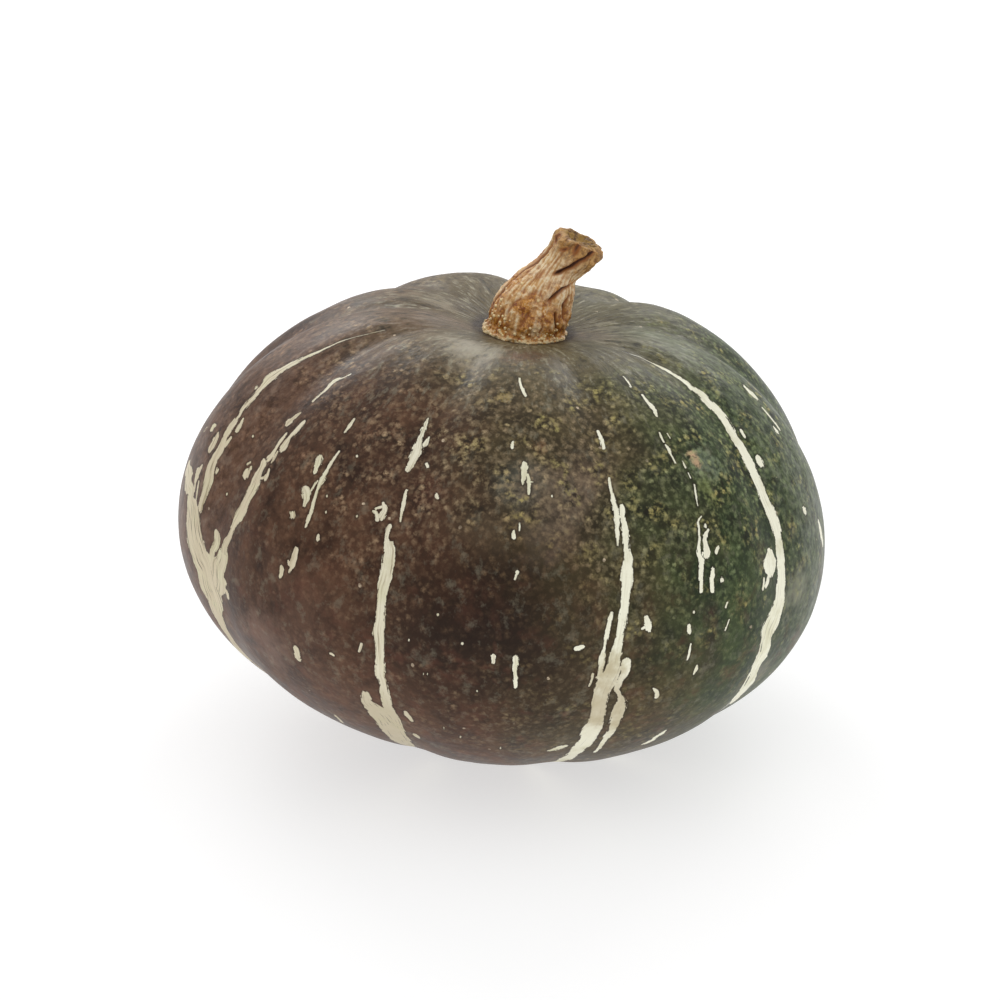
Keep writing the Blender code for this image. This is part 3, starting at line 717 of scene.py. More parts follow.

# %% [markdown]
# ## The rind's finish
#
# The rind is hard and thinly waxed: a soft sheen, never a mirror, so the roughness is a little under a half. Its
# colour comes in layers. The ground goes from reddish brown on the left, where the sun tanned it, to dark green on
# the right. Stains, large and small, and patches of painted shade, painted sheen and painted reflection are placed
# by where the photograph shows them. Over the ground lie faint lines along the meridians, a pale veil on both flanks
# that is partly bloom and partly painted rim sheen, soft dots that are thinned and dimmed lower down as painted
# shade, a few bright ones that are partly painted glints, and last the cream streaks, with painted light that makes
# them brighter on the right. Each layer comes and goes with a measure, such as the angle from the stem or a pattern,
# so one function lays them. Each pattern's size is worked out in millimetres.

# %% Rind: where on the fruit, and how a layer is laid
FIRST, SECOND = 6, 7            # the colour sockets of a mix node
SOFT = "SMOOTHSTEP"             # a slope that eases in and out


def lay(tree, under, over, measure, span, strengths=(0.0, 1.0), within=(), slope="LINEAR"):
    """Lays a colour over another: its strength goes from one value to another while a measure goes over a span."""
    share = add(tree, RANGE, {"Value": measure, "From Min": span[0], "From Max": span[1],
                              "To Min": strengths[0], "To Max": strengths[1]}, interpolation_type=slope)
    for factor in within:
        share = add(tree, MATH, {0: share, 1: factor}, operation="MULTIPLY")
    return add(tree, MIX, {0: share, FIRST: under, SECOND: over}, data_type="RGBA")


rind.use_nodes = True
nodes = rind.node_tree
surface = nodes.nodes["Principled BSDF"]
spot = add(nodes, "ShaderNodeTexCoord").outputs["Object"]
around_down = add(nodes, "ShaderNodeSeparateXYZ", {0: add(nodes, "ShaderNodeUVMap", uv_map="around_down")})
azimuth, polar = around_down.outputs[0], around_down.outputs[1]
sine = add(nodes, MATH, {0: azimuth}, operation="SINE")
cosine = add(nodes, MATH, {0: azimuth}, operation="COSINE")
side = add(nodes, "ShaderNodeCombineXYZ", {0: sine, 1: cosine})
from_stem = add(nodes, MATH, {0: polar, 1: 180 / math.pi}, operation="MULTIPLY")
rightward = add(nodes, MATH, {0: add(nodes, "ShaderNodeSeparateXYZ", {0: spot}), 1: 1 / MM}, operation="MULTIPLY")
print(len(nodes.nodes), "nodes so far")

# %% Rind: ground colours
BROWN, OLIVE, GREEN = ("362218", "624533"), ("372E1E", "5A4E34"), ("23301F", "434F2F")     # dark and light mottles
PALE_TOP = linear("7B7054")
BLOTCHES_MM, MM_A_DEGREE, GREEN_SIDE_MM = 60.0, -0.22, 17.0    # what shifts the border between brown and green

blotches = add(nodes, NOISE, {"Vector": spot, "Scale": 1 / (30 * MM), "Detail": 3.0, "Roughness": 0.6})
mottles = add(nodes, NOISE, {"Vector": spot, "Scale": 1 / (9 * MM), "Detail": 4.0, "Roughness": 0.65})
grain = add(nodes, NOISE, {"Vector": spot, "Scale": 1 / (1.5 * MM), "Detail": 2.0, "Roughness": 0.6})
mottled = add(nodes, RANGE, {"Value": mottles, "From Min": 0.33, "From Max": 0.66})
brown, olive, green = (add(nodes, MIX, {0: mottled, FIRST: linear(dark), SECOND: linear(light)}, data_type="RGBA")
                       for dark, light in (BROWN, OLIVE, GREEN))
rightward = add(nodes, MATH, {0: blotches, 1: BLOTCHES_MM, 2: rightward}, operation="MULTIPLY_ADD")
rightward = add(nodes, MATH, {0: from_stem, 1: MM_A_DEGREE, 2: rightward}, operation="MULTIPLY_ADD")
rightward = add(nodes, MATH, {0: rightward, 1: GREEN_SIDE_MM}, operation="ADD")
olive_share, green_share = (add(nodes, RANGE, {"Value": rightward, "From Min": begins, "From Max": full},
                                interpolation_type=SOFT) for begins, full in ((10.0, 48.0), (52.0, 88.0)))
ground = add(nodes, MIX, {0: olive_share, FIRST: brown, SECOND: olive}, data_type="RGBA")
ground = add(nodes, MIX, {0: green_share, FIRST: ground, SECOND: green}, data_type="RGBA")
ground = lay(nodes, ground, PALE_TOP, from_stem, (22.0, 46.0), (0.40, 0.0), slope=SOFT)
print(len(nodes.nodes), "nodes so far")

# %% Rind: stains, painted shade, painted sheen and painted reflection
STAINS_AND_PAINTED_LIGHT = [  # pixels, reach in millimetres, colour, strength
    # painted shade on the low front, below the middle, where the fruit shades itself: the next three patches
    (500, 622, 27, "1E130E", 0.86), (440, 640, 24, "241710", 0.66), (560, 690, 24, "33241B", 0.45),
    # painted sheen on the front middle, where the rib's crest catches the light: the next three patches, and (484, 520)
    (516, 486, 9, "56605A", 0.50), (585, 470, 9, "705E4E", 0.60), (560, 510, 14, "6E5E50", 0.65),
    # (468, 350): pale haze on the shoulder, partly bloom and partly painted sheen; (520, 357) is the skin's warm brown
    (484, 520, 9, "60503E", 0.50), (520, 357, 6, "6B4630", 0.55), (468, 350, 11, "A29A88", 0.60),
    # (280, 351): pale haze, partly bloom and partly painted sheen; (266, 640) and (796, 590): painted rim reflection
    (280, 351, 8, "9A8878", 0.40), (266, 640, 12, "8E766A", 0.45), (796, 590, 9, "93917F", 0.60),
    # (756, 677): painted rim reflection; (563, 384): painted shade that dims the sheen before the stem
    (756, 677, 8, "8F8678", 0.50), (563, 384, 6, "35301F", 0.50), (710, 612, 4, "2E2420", 0.70),
    (711, 640, 4.5, "30241E", 0.70), (707, 666, 4.5, "33281F", 0.60), (738, 602, 7, "465430", 0.45),
    # (600, 328) and (438, 300): pale haze, partly bloom and partly painted sheen; (706, 464): painted highlight
    (600, 328, 5, "8C8772", 0.40), (438, 300, 8, "A39A84", 0.45), (706, 464, 6.5, "737C6C", 0.60),
    (692, 455, 1.9, "D2AE8C", 0.95), (697, 463, 1.6, "C9A583", 0.90), (706, 486, 3.5, "7C8450", 0.60),
    (712, 500, 2.5, "7C8450", 0.50), (504, 397, 2.4, "A6915A", 0.70), (540, 446, 2.5, "9A7250", 0.45),
    (300, 630, 16, "5C4438", 0.45), (345, 690, 16, "694C3B", 0.45), (430, 490, 5, "6A4636", 0.40),
]
# (537, 355): painted shade beside the stem's foot; (478, 350): pale haze, partly bloom and partly painted sheen; (604,
# 352): darker skin right of the stem
STEM_SHADE_AND_HAZE = [(537, 355, 6, "4E3828", 0.60), (478, 350, 9, "AEA692", 0.50), (604, 352, 8, "4A4632", 0.35)]
DULL_FOOT = (606, 704, 17, "B9A785", 0.65)        # on the fourth cream line, which is duller near its foot
SMALL_STAIN = 8                # a stain that reaches less far than this has a finer edge, in millimetres
UNEVEN = -2.2                  # how much the mottles draw a stain's edge out, as a share of its reach


def lay_patch(under, x, y, reach_mm, hex_colour, strength):
    """Lays a soft-edged patch over a colour, broken up by the mottles, or by the grain where it is small. The patches
    are stains, painted shade and painted sheen.
    """
    reach = reach_mm * MM
    away = add(nodes, VECTOR, {0: spot, 1: tuple(seen_at(x, y))}, operation="DISTANCE").outputs["Value"]
    broken = grain if reach_mm < SMALL_STAIN else mottles
    away = add(nodes, MATH, {0: broken, 1: UNEVEN * reach_mm * MM, 2: away}, operation="MULTIPLY_ADD")
    return lay(nodes, under, linear(hex_colour), away, (-reach, 0.0), (strength, 0.0), slope=SOFT)


for placed in STAINS_AND_PAINTED_LIGHT:
    ground = lay_patch(ground, *placed)
print(len(STAINS_AND_PAINTED_LIGHT), "stains;", len(nodes.nodes), "nodes so far")

# %% Rind: lines along the meridians
LINE_KINDS = {"A19C86": (0.54, 0.68), "262218": (0.47, 0.32)}     # pale lines on the pattern's crests, dark below
PINK_BLOOM_AND_SHEEN, GREY_BLOOM_AND_SHEEN, RED_LINE = linear("84695A"), linear("858C78"), linear("6E4636")
FOOT_SHADOW, SCAR = linear("2E2118"), linear("8A6C4C")
VEIL_AZIMUTH, VEIL_ENDS, VEIL_FULL = math.radians(76), math.radians(24), math.radians(6)   # a pale veil on both flanks: partly bloom, partly painted rim sheen

slow = add(nodes, "ShaderNodeCombineXYZ", {2: add(nodes, MATH, {0: polar, 1: 0.7}, operation="MULTIPLY")})
streaming = add(nodes, VECTOR, {0: side, 1: slow}, operation="ADD")
lines = add(nodes, NOISE, {"Vector": streaming, "Scale": 23.0, "Detail": 4.0, "Roughness": 0.7})
near_stem = add(nodes, RANGE, {"Value": from_stem, "From Min": 14.0, "From Max": 52.0, "To Min": 0.95, "To Max": 0.22},
                interpolation_type=SOFT)
for line_colour, span in LINE_KINDS.items():
    ground = lay(nodes, ground, linear(line_colour), lines, span, within=(near_stem,))
aslant = add(nodes, MATH, {0: add(nodes, MATH, {0: azimuth}, operation="ABSOLUTE"), 1: VEIL_AZIMUTH},
             operation="SUBTRACT")
bloom_and_sheen_share = add(nodes, RANGE, {"Value": add(nodes, MATH, {0: aslant}, operation="ABSOLUTE"), "From Min": VEIL_ENDS,
                            "From Max": VEIL_FULL, "To Max": 0.55}, interpolation_type=SOFT)
bloom_and_sheen = add(nodes, MIX, {0: green_share, FIRST: PINK_BLOOM_AND_SHEEN, SECOND: GREY_BLOOM_AND_SHEEN}, data_type="RGBA")
# the pale veil on the flanks: partly bloom, partly painted rim sheen
ground = lay(nodes, ground, bloom_and_sheen, lines, (0.38, 0.66), within=(bloom_and_sheen_share,))
red = add(nodes, NOISE, {"Vector": streaming, "Scale": 9.0, "Detail": 3.0, "Roughness": 0.7, "Distortion": 0.4})
low_down = add(nodes, RANGE, {"Value": from_stem, "From Min": 60.0, "From Max": 95.0, "To Max": 0.5})
ground = lay(nodes, ground, RED_LINE, red, (0.52, 0.72), within=(low_down,))
ground = lay(nodes, ground, FOOT_SHADOW, from_stem, (8.2, 10.4), (0.9, 0.0), slope=SOFT)
for placed in STEM_SHADE_AND_HAZE:
    ground = lay_patch(ground, *placed)     # painted shade, pale haze and darker skin by the stem, over the pale lines
ground = lay(nodes, ground, SCAR, from_stem, (175.8, 177.2), slope=SOFT)
print(len(nodes.nodes), "nodes so far")

# %% Rind: where the dots stand, and their colour
TAN_DOTS, ROSY_DOTS, GREEN_DOTS = linear("B49E7C"), linear("A88468"), linear("98A674")
YELLOW_DOTS, SPECKS_AND_GLINTS, SHADED_DOTS, NET = linear("A89C62"), linear("DCC8AC"), linear("8C6648"), linear("1F1A12")
PAINTED_SHADE_PLACE = (500, 606)         # pixels: the middle of the painted shade on the low front, where the dots are few and dim

dot_colour = lay(nodes, ROSY_DOTS, TAN_DOTS, rightward, (-20.0, 20.0))
dot_colour = add(nodes, MIX, {0: green_share, FIRST: dot_colour, SECOND: GREEN_DOTS}, data_type="RGBA")
patchy = add(nodes, NOISE, {"Vector": spot, "Scale": 1 / (7 * MM), "Detail": 3.0, "Roughness": 0.6})
dot_colour = lay(nodes, dot_colour, YELLOW_DOTS, patchy, (0.48, 0.66), within=(olive_share,))
clustered = add(nodes, RANGE, {"Value": patchy, "From Min": 0.48, "From Max": 0.66})
thick = add(nodes, MATH, {0: clustered, 1: 0.30}, operation="ADD")
thick = add(nodes, MATH, {0: blotches, 1: 0.5, 2: thick}, operation="MULTIPLY_ADD")
from_painted_shade = add(nodes, VECTOR, {0: spot, 1: tuple(seen_at(*PAINTED_SHADE_PLACE))}, operation="DISTANCE").outputs["Value"]
# painted shade on the low front: fewer, dimmer dots
in_painted_shade = add(nodes, RANGE, {"Value": from_painted_shade, "From Min": 10 * MM, "From Max": 30 * MM, "To Min": 0.62,
                                 "To Max": 0.0}, interpolation_type=SOFT)
dot_colour = add(nodes, MIX, {0: in_painted_shade, FIRST: dot_colour, SECOND: SHADED_DOTS}, data_type="RGBA")
out_of_painted_shade = add(nodes, MATH, {0: 1.0, 1: in_painted_shade}, operation="SUBTRACT")
DOT_SHARES = (                  # what a share is read from, over which span, and its values there
    # the second share thins the dots further down the fruit, as painted shade
    (rightward, -25.0, 30.0, 0.40, 1.0), (from_stem, 62.0, 92.0, 1.0, 0.30), (from_stem, 20.0, 38.0, 0.15, 1.0))
shares = [add(nodes, RANGE, {"Value": measure, "From Min": low, "From Max": high, "To Min": first, "To Max": last})
          for measure, low, high, first, last in DOT_SHARES]
dotted = shares[0]
for factor in shares[1:] + [thick, out_of_painted_shade]:
    dotted = add(nodes, MATH, {0: dotted, 1: factor}, operation="MULTIPLY")
ground = lay(nodes, ground, NET, grain, (0.52, 0.38), (0.0, 0.55), within=(dotted,))
ground = lay(nodes, ground, dot_colour, grain, (0.51, 0.68), (0.0, 0.42), within=(dotted,))
print(len(nodes.nodes), "nodes so far")

# %% Rind: the dots themselves
grit = add(nodes, NOISE, {"Vector": spot, "Scale": 1 / (0.55 * MM), "Detail": 1.0, "Roughness": 0.5})
gritty = add(nodes, RANGE, {"Value": grit, "From Min": 0.36, "From Max": 0.60, "To Min": 0.60, "To Max": 1.30})
wobbled = add(nodes, VECTOR, {0: grain.outputs["Color"], 1: (0.8 * MM,) * 3, 2: spot}, operation="MULTIPLY_ADD")
DOT_KINDS = {  # spacing and half size in millimetres, least draw, strength, colour, where, how ragged
    "soft": (1.85, 0.98, -0.05, 1.0, dot_colour, dotted, 0.34),
    # pale specks, partly painted glints
    "specks_and_glints": (6.5, 0.48, 0.30, 0.9, SPECKS_AND_GLINTS, 0.9, 0.0),
}


def lay_dots(under, spacing_mm, half_mm, least_draw, strength, dot, where, ragged):
    """Lays one kind of dots over a colour, one in each cell of a pattern, and returns the dots' own share too."""
    cells = add(nodes, CELLS, {"Vector": wobbled, "Scale": 1 / (spacing_mm * MM), "Randomness": 1.0})
    draw = add(nodes, "ShaderNodeSeparateColor", {0: cells.outputs["Color"]})
    reach = add(nodes, MATH, {0: draw.outputs[1], 1: 0.5 * half_mm / spacing_mm, 2: 0.8 * half_mm / spacing_mm},
                operation="MULTIPLY_ADD")
    away = add(nodes, MATH, {0: grit, 1: -ragged, 2: cells.outputs["Distance"]}, operation="MULTIPLY_ADD")
    away = add(nodes, MATH, {0: away, 1: 0.48 * ragged}, operation="ADD")
    share = add(nodes, RANGE, {"Value": away, "From Min": 0.05, "From Max": reach, "To Min": 1.0, "To Max": 0.0},
                interpolation_type=SOFT)
    carried = add(nodes, RANGE, {"Value": draw.outputs[0], "From Min": least_draw, "From Max": 1.0,
                                 "To Min": 0.0, "To Max": strength})
    for factor in (carried, where, gritty):
        share = add(nodes, MATH, {0: share, 1: factor}, operation="MULTIPLY")
    return add(nodes, MIX, {0: share, FIRST: under, SECOND: dot}, data_type="RGBA"), share


dots = {}
for kind, values in DOT_KINDS.items():
    ground, dots[kind] = lay_dots(ground, *values)
print(len(nodes.nodes), "nodes so far")

# %% Rind: cream streaks
CREAM, LEFT_SHADED_CREAM, GREEN_CREAM = linear("FFFDE6"), linear("D8CBAE"), linear("DEDAB6")
CREAM_SHADE, STREAK_RIM = linear("A3906C"), linear("2B1F16")
FINE_BITES, STEP_BITES = 1.8, 0.8      # how much fine noise and square steps eat into a streak's edge
BITE_SHARE, LEAST_BITE, MOST_BITE = 0.60, 0.14, 0.72    # a bite's reach for each mm of half width, and its limits in mm
ROUND_END = 0.7                        # a streak's end is rounded over this share of its half width
DRAWN_OUT, APART = 0.30, 7.3           # the edge's pattern is drawn out lengthwise, and differs from streak to streak


def streak_inside(name):
    """How far inside a streak's ragged edge a place lies, in millimetres, and the streak's own coordinates and size."""
    place = add(nodes, "ShaderNodeSeparateXYZ", {0: add(nodes, "ShaderNodeUVMap", uv_map=name + "_streak_place")})
    size = add(nodes, "ShaderNodeSeparateXYZ", {0: add(nodes, "ShaderNodeUVMap", uv_map=name + "_streak_size")})
    apart = add(nodes, MATH, {0: size.outputs[1], 1: APART}, operation="MULTIPLY")
    lengthwise = add(nodes, MATH, {0: place.outputs[1], 1: DRAWN_OUT}, operation="MULTIPLY")
    stretched = add(nodes, "ShaderNodeCombineXYZ", {0: place.outputs[0], 1: lengthwise, 2: apart})
    steps = add(nodes, CELLS, {"Vector": stretched, "Scale": 1.0, "Randomness": 0.9}, distance="CHEBYCHEV")
    step = add(nodes, "ShaderNodeSeparateColor", {0: steps.outputs["Color"]})
    ragged = add(nodes, NOISE, {"Vector": stretched, "Scale": 2.6, "Detail": 3.0, "Roughness": 0.8})
    ragged = add(nodes, MATH, {0: ragged, 1: FINE_BITES, 2: -0.4}, operation="MULTIPLY_ADD")
    bite = add(nodes, MATH, {0: step.outputs[0], 1: STEP_BITES, 2: ragged}, operation="MULTIPLY_ADD")
    bite = add(nodes, MATH, {0: bite, 1: 1.0}, operation="SUBTRACT")
    most = add(nodes, MATH, {0: size.outputs[0], 1: BITE_SHARE, 2: LEAST_BITE}, operation="MULTIPLY_ADD")
    most = add(nodes, MATH, {0: most, 1: MOST_BITE}, operation="MINIMUM")
    bite = add(nodes, MATH, {0: bite, 1: most}, operation="MULTIPLY")
    from_end = add(nodes, MATH, {0: size.outputs[1], 1: place.outputs[1]}, operation="SUBTRACT")
    from_end = add(nodes, MATH, {0: from_end, 1: place.outputs[1]}, operation="MINIMUM")
    rounded = add(nodes, MATH, {0: size.outputs[0], 1: ROUND_END}, operation="MULTIPLY")
    past = add(nodes, MATH, {0: rounded, 1: from_end}, operation="SUBTRACT")
    past = add(nodes, MATH, {0: past, 1: 0.0}, operation="MAXIMUM")
    off_line = add(nodes, "ShaderNodeCombineXYZ", {0: place.outputs[0], 1: past})
    off_line = add(nodes, VECTOR, {0: off_line}, operation="LENGTH").outputs["Value"]
    inward = add(nodes, MATH, {0: size.outputs[0], 1: off_line}, operation="SUBTRACT")
    return add(nodes, MATH, {0: inward, 1: bite}, operation="ADD"), stretched, size


inside, own_place, own_size = streak_inside("nearest")
inside = add(nodes, MATH, {0: inside, 1: streak_inside("second")[0]}, operation="MAXIMUM")
ground = lay(nodes, ground, STREAK_RIM, inside, (-0.75, -0.05), (0.0, 0.55), slope=SOFT)
fibre_place = add(nodes, VECTOR, {0: own_place, 1: (2.2, 0.35, 1.0)}, operation="MULTIPLY")
fibres = add(nodes, NOISE, {"Vector": fibre_place, "Scale": 1.0, "Detail": 3.0, "Roughness": 0.6})
# painted light: the cream goes from duller on the left to brighter on the right
cream = lay(nodes, LEFT_SHADED_CREAM, CREAM, rightward, (-35.0, 35.0))
cream = lay(nodes, cream, GREEN_CREAM, mottles, (0.48, 0.66), (0.0, 0.7))
# less wear, and painted light, on the right
clean_and_lit = add(nodes, RANGE, {"Value": rightward, "From Min": 20.0, "From Max": 45.0, "To Min": 1.0, "To Max": 0.3})
worn_and_shaded = add(nodes, RANGE, {"Value": fibres, "From Min": 0.46, "From Max": 0.72, "To Max": 0.72})
# the cream is duller lower down
low_dull = add(nodes, RANGE, {"Value": from_stem, "From Min": 102.0, "From Max": 116.0, "To Max": 0.45})
worn_and_shaded = add(nodes, MATH, {0: worn_and_shaded, 1: low_dull}, operation="MAXIMUM")
worn_and_shaded = add(nodes, MATH, {0: worn_and_shaded, 1: clean_and_lit}, operation="MULTIPLY")
cream = add(nodes, MIX, {0: worn_and_shaded, FIRST: cream, SECOND: CREAM_SHADE}, data_type="RGBA")
cream = lay_patch(cream, *DULL_FOOT)
wide = add(nodes, RANGE, {"Value": own_size.outputs[0], "From Min": 1.2, "From Max": 2.4})
cream = lay(nodes, cream, STREAK_RIM, fibres, (0.61, 0.66), (0.0, 0.8), within=(wide, clean_and_lit))     # slits
colour = lay(nodes, ground, cream, inside, (-0.08, 0.08), slope=SOFT)
nodes.links.new(colour.outputs[2], surface.inputs["Base Color"])
print(len(nodes.nodes), "nodes so far")

# %% Rind: wax and fine relief
gloss = add(nodes, RANGE, {"Value": mottles, "From Min": 0.3, "From Max": 0.7, "To Min": 0.34, "To Max": 0.46})
nodes.links.new(gloss.outputs[0], surface.inputs["Roughness"])
surface.inputs["IOR"].default_value = 1.23      # wax has about 1.44: this is matched to the photograph's dull sheen
peel = add(nodes, NOISE, {"Vector": spot, "Scale": 1 / (2.2 * MM), "Detail": 2.0, "Roughness": 0.55})
relief_mm = add(nodes, MATH, {0: peel, 1: 0.12}, operation="MULTIPLY")
relief_mm = add(nodes, MATH, {0: dots["soft"], 1: 0.05, 2: relief_mm}, operation="MULTIPLY_ADD")
line_height = add(nodes, MATH, {0: near_stem, 1: 0.30}, operation="MULTIPLY")
relief_mm = add(nodes, MATH, {0: lines, 1: line_height, 2: relief_mm}, operation="MULTIPLY_ADD")
bump = add(nodes, "ShaderNodeBump", {"Height": relief_mm, "Distance": MM, "Strength": 1.0})
nodes.links.new(bump.outputs[0], surface.inputs["Normal"])
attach(fruit, "root")
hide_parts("fruit")
print(len(nodes.nodes), "nodes in the rind")

# %% [markdown]
# ## The stem
#
# A ripe kabocha's stem is dry and corky: a wide foot in the hollow, a body that narrows to the neck, and a flared end
# where it was cut. No rule of even rings would look grown, so it is lofted in mesh code. Rings of points follow the
# packed stem's bend, with their own radii on the left and on the right. Fissures run where the photograph shows
# them, and by a rule on the far side. A lumpy crust of dried sap closes the foot.

# %% Sizes of the stem
STEM_HEIGHT, STEM_REACH, STEM_BEND = 27.1 * MM, 11.6 * MM, 1.6
CUT_TILT, NECK_TILT, NECK_PLACE = math.radians(20), math.radians(38), 0.84
LEFT_RADII = [(0.0, 10.0), (0.17, 10.4), (0.26, 10.1), (0.37, 9.3), (0.475, 7.8), (0.565, 6.3), (0.68, 5.0),
              (0.83, 4.8), (0.93, 5.9), (1.0, 6.4)]       # share of the height, radius in millimetres
RIGHT_RADII = [(0.0, 10.5), (0.12, 10.5), (0.28, 10.1), (0.49, 8.8), (0.62, 7.9), (0.74, 6.3), (0.835, 7.1),
               (0.92, 8.0), (1.0, 8.1)]
STEM_RINGS, STEM_SIDES = 200, 260
SUNK = 0.35 * MM                # the foot is sunk this far into the skin, so that no light passes under it
FISSURES = [                    # (share of the height, degrees from the front) down its course, depth and width in mm
    ([(1.05, 46), (0.97, 34), (0.90, 24), (0.83, 20), (0.77, 11), (0.68, -5)], 1.4, 0.70),
    ([(0.72, 58), (0.64, 30), (0.56, 22), (0.46, 13)], 1.1, 0.60),
    ([(0.62, 56), (0.50, 48), (0.41, 52), (0.28, 62)], 1.0, 0.55),
    ([(0.41, 33), (0.29, 38), (0.18, 49), (0.07, 52)], 1.1, 0.45),
    ([(0.36, -8), (0.25, -12), (0.17, -12)], 0.7, 0.35),
    ([(0.42, -30), (0.35, -37), (0.23, -40)], 0.5, 0.50),
    ([(0.28, -48), (0.19, -51), (0.12, -54)], 0.6, 0.60),
    ([(0.96, -8), (0.94, -18), (0.86, -29)], 0.9, 0.60),
    ([(0.30, 14), (0.22, 20), (0.12, 18)], 0.5, 0.45),
    ([(0.55, -8), (0.47, -20), (0.40, -24)], 0.4, 0.60),
    ([(1.05, 0), (0.97, 2), (0.91, 6)], 1.0, 0.80),
    ([(1.05, -70), (0.95, -62), (0.86, -66)], 0.9, 0.90),
    ([(1.05, 92), (0.95, 84), (0.88, 86)], 1.0, 0.80),
]
FAR_SIDE = (95, 122, 158, 197, 232, 268)        # azimuths, in degrees, of the fissures that the photograph doesn't show
for start in FAR_SIDE:
    course = np.cumsum(chance.normal(0, 7, 5)) + start
    highest = chance.uniform(0.65, 0.9)
    FISSURES.append((list(zip(np.linspace(highest, 0.07, 5), course)), chance.uniform(0.7, 1.3), 0.75))
print("stem", round(1000 * STEM_HEIGHT), "mm high,", 2 * STEM_RINGS * STEM_SIDES, "triangles round its side")


# %% Lay out the stem's side
def eased(low, high, value):
    """0 below low, 1 above high, and a smooth slope between them."""
    share = np.clip((value - low) / (high - low), 0, 1)
    return share * share * (3 - 2 * share)


def bump_at(value, middle, reach):
    """A smooth bump, 1 at its middle."""
    return np.exp(-((value - middle) / reach) ** 2)


def read_off(profile, share):
    """The radius at a share of the height, read off a profile and smoothed."""
    shares, radii = np.array(profile).T
    return sum(np.interp(share + shift, shares, radii) for shift in (-0.03, -0.015, 0, 0.015, 0.03)) / 5 * MM


def hollow_floor(radius):
    """The height of the stem hollow's floor above the fruit's centre."""
    dome = FRUIT["Stem end height"] * np.sqrt(1 - np.minimum(radius / FRUIT["Half width"], 1) ** 2)
    return dome - FRUIT["Hollow depth"] * np.exp(-(radius / FRUIT["Hollow width"]) ** 2)


def roughness_at(points, size_mm, octaves=3, seed=0.0):
    """Fractal noise between about -1 and 1 at each point, with lumps of this size."""
    scaled = points.reshape(-1, 3) / (size_mm * MM) + seed
    values = [noise.fractal(Vector(row), 0.9, 2.0, octaves) for row in scaled]
    return np.array(values).reshape(points.shape[:-1])


share = (np.arange(STEM_RINGS + 1) / STEM_RINGS)[:, None]
around = (2 * np.pi * np.arange(STEM_SIDES) / STEM_SIDES)[None, :]
rightness = (1 + np.cos(around)) / 2
smooth_radius = read_off(LEFT_RADII, share) * (1 - rightness) + read_off(RIGHT_RADII, share) * rightness
smooth_radius = smooth_radius * (1 - 0.10 * eased(0.93, 1.0, share) ** 2)
lengthwise = np.stack(np.broadcast_arrays(np.cos(around) * 2, np.sin(around) * 2, share * 5), -1)
sway = roughness_at(lengthwise, 1000, 2, 3.0)
fissures = np.zeros_like(smooth_radius)
for course, deep, wide in FISSURES:
    heights, degrees = np.array(course)[::-1].T
    middle = np.radians(270 + np.interp(share, heights, degrees)) + 0.04 * sway
    aside = (around - middle + np.pi) % (2 * np.pi) - np.pi
    aside_mm = aside * smooth_radius / MM
    ends = eased(heights[0] - 0.03, heights[0] + 0.05, share)
    ends = ends * (1 - eased(heights[-1] - 0.05, heights[-1] + 0.03, share))
    width_here = wide * (1 + 0.35 * sway)
    fissures = np.maximum(fissures, deep * ends * np.exp(-(aside_mm / width_here) ** 2))
twisted = around + 0.5 * share
fibres = np.stack(np.broadcast_arrays(np.cos(twisted) * 10, np.sin(twisted) * 10, share * 4), -1)
striation = roughness_at(fibres, 1000, 3, 6.0)
broad = roughness_at(lengthwise * [1, 1, 0.6], 900, 2, 12.0)
crust_top = 0.066 + 0.024 * roughness_at(lengthwise, 260, 2, 20.0)
crust = 1 - eased(crust_top, crust_top + 0.022, share)
gutter = bump_at(share, crust_top + 0.06, 0.035)
off_mm = 0.42 * broad * eased(0.05, 0.3, share) + 0.20 * striation - fissures + 0.65 * crust - 0.45 * gutter
radius = smooth_radius + off_mm * MM
tilt = np.where(share < NECK_PLACE, NECK_TILT * eased(0, NECK_PLACE, share),
                NECK_TILT + (CUT_TILT - NECK_TILT) * eased(NECK_PLACE, 1, share))
x = radius * np.cos(around)
bend_x = STEM_REACH * share ** STEM_BEND
bend_z = hollow_floor(0) + STEM_HEIGHT * share
side_points = np.stack([bend_x + x * np.cos(tilt), radius * np.sin(around), bend_z - x * np.sin(tilt)], -1)
print("fissures up to", round(float(fissures.max()), 2), "mm deep")

# %% Roughen it and close it
outward = side_points - np.stack(np.broadcast_arrays(bend_x, 0 * around, bend_z), -1)
outward /= np.linalg.norm(outward, axis=-1)[..., None]
at_tip = eased(0.86, 1.0, share)
lumps = roughness_at(side_points, 3.2, 2, 9.0)
crumbs = roughness_at(side_points, 1.3, 3, 1.0)
bark_mm = 0.20 * crumbs + 0.30 * lumps + 0.9 * at_tip * lumps + crust * (0.15 * crumbs + 0.45 * lumps)
side_points = side_points + outward * (bark_mm * MM)[..., None]
side_points[..., 2] += at_tip * roughness_at(side_points, 4.0, 2, 30.0) * 0.7 * MM
low = hollow_floor(np.hypot(side_points[..., 0], side_points[..., 1])) - SUNK
side_points[..., 2] = np.maximum(side_points[..., 2], low)

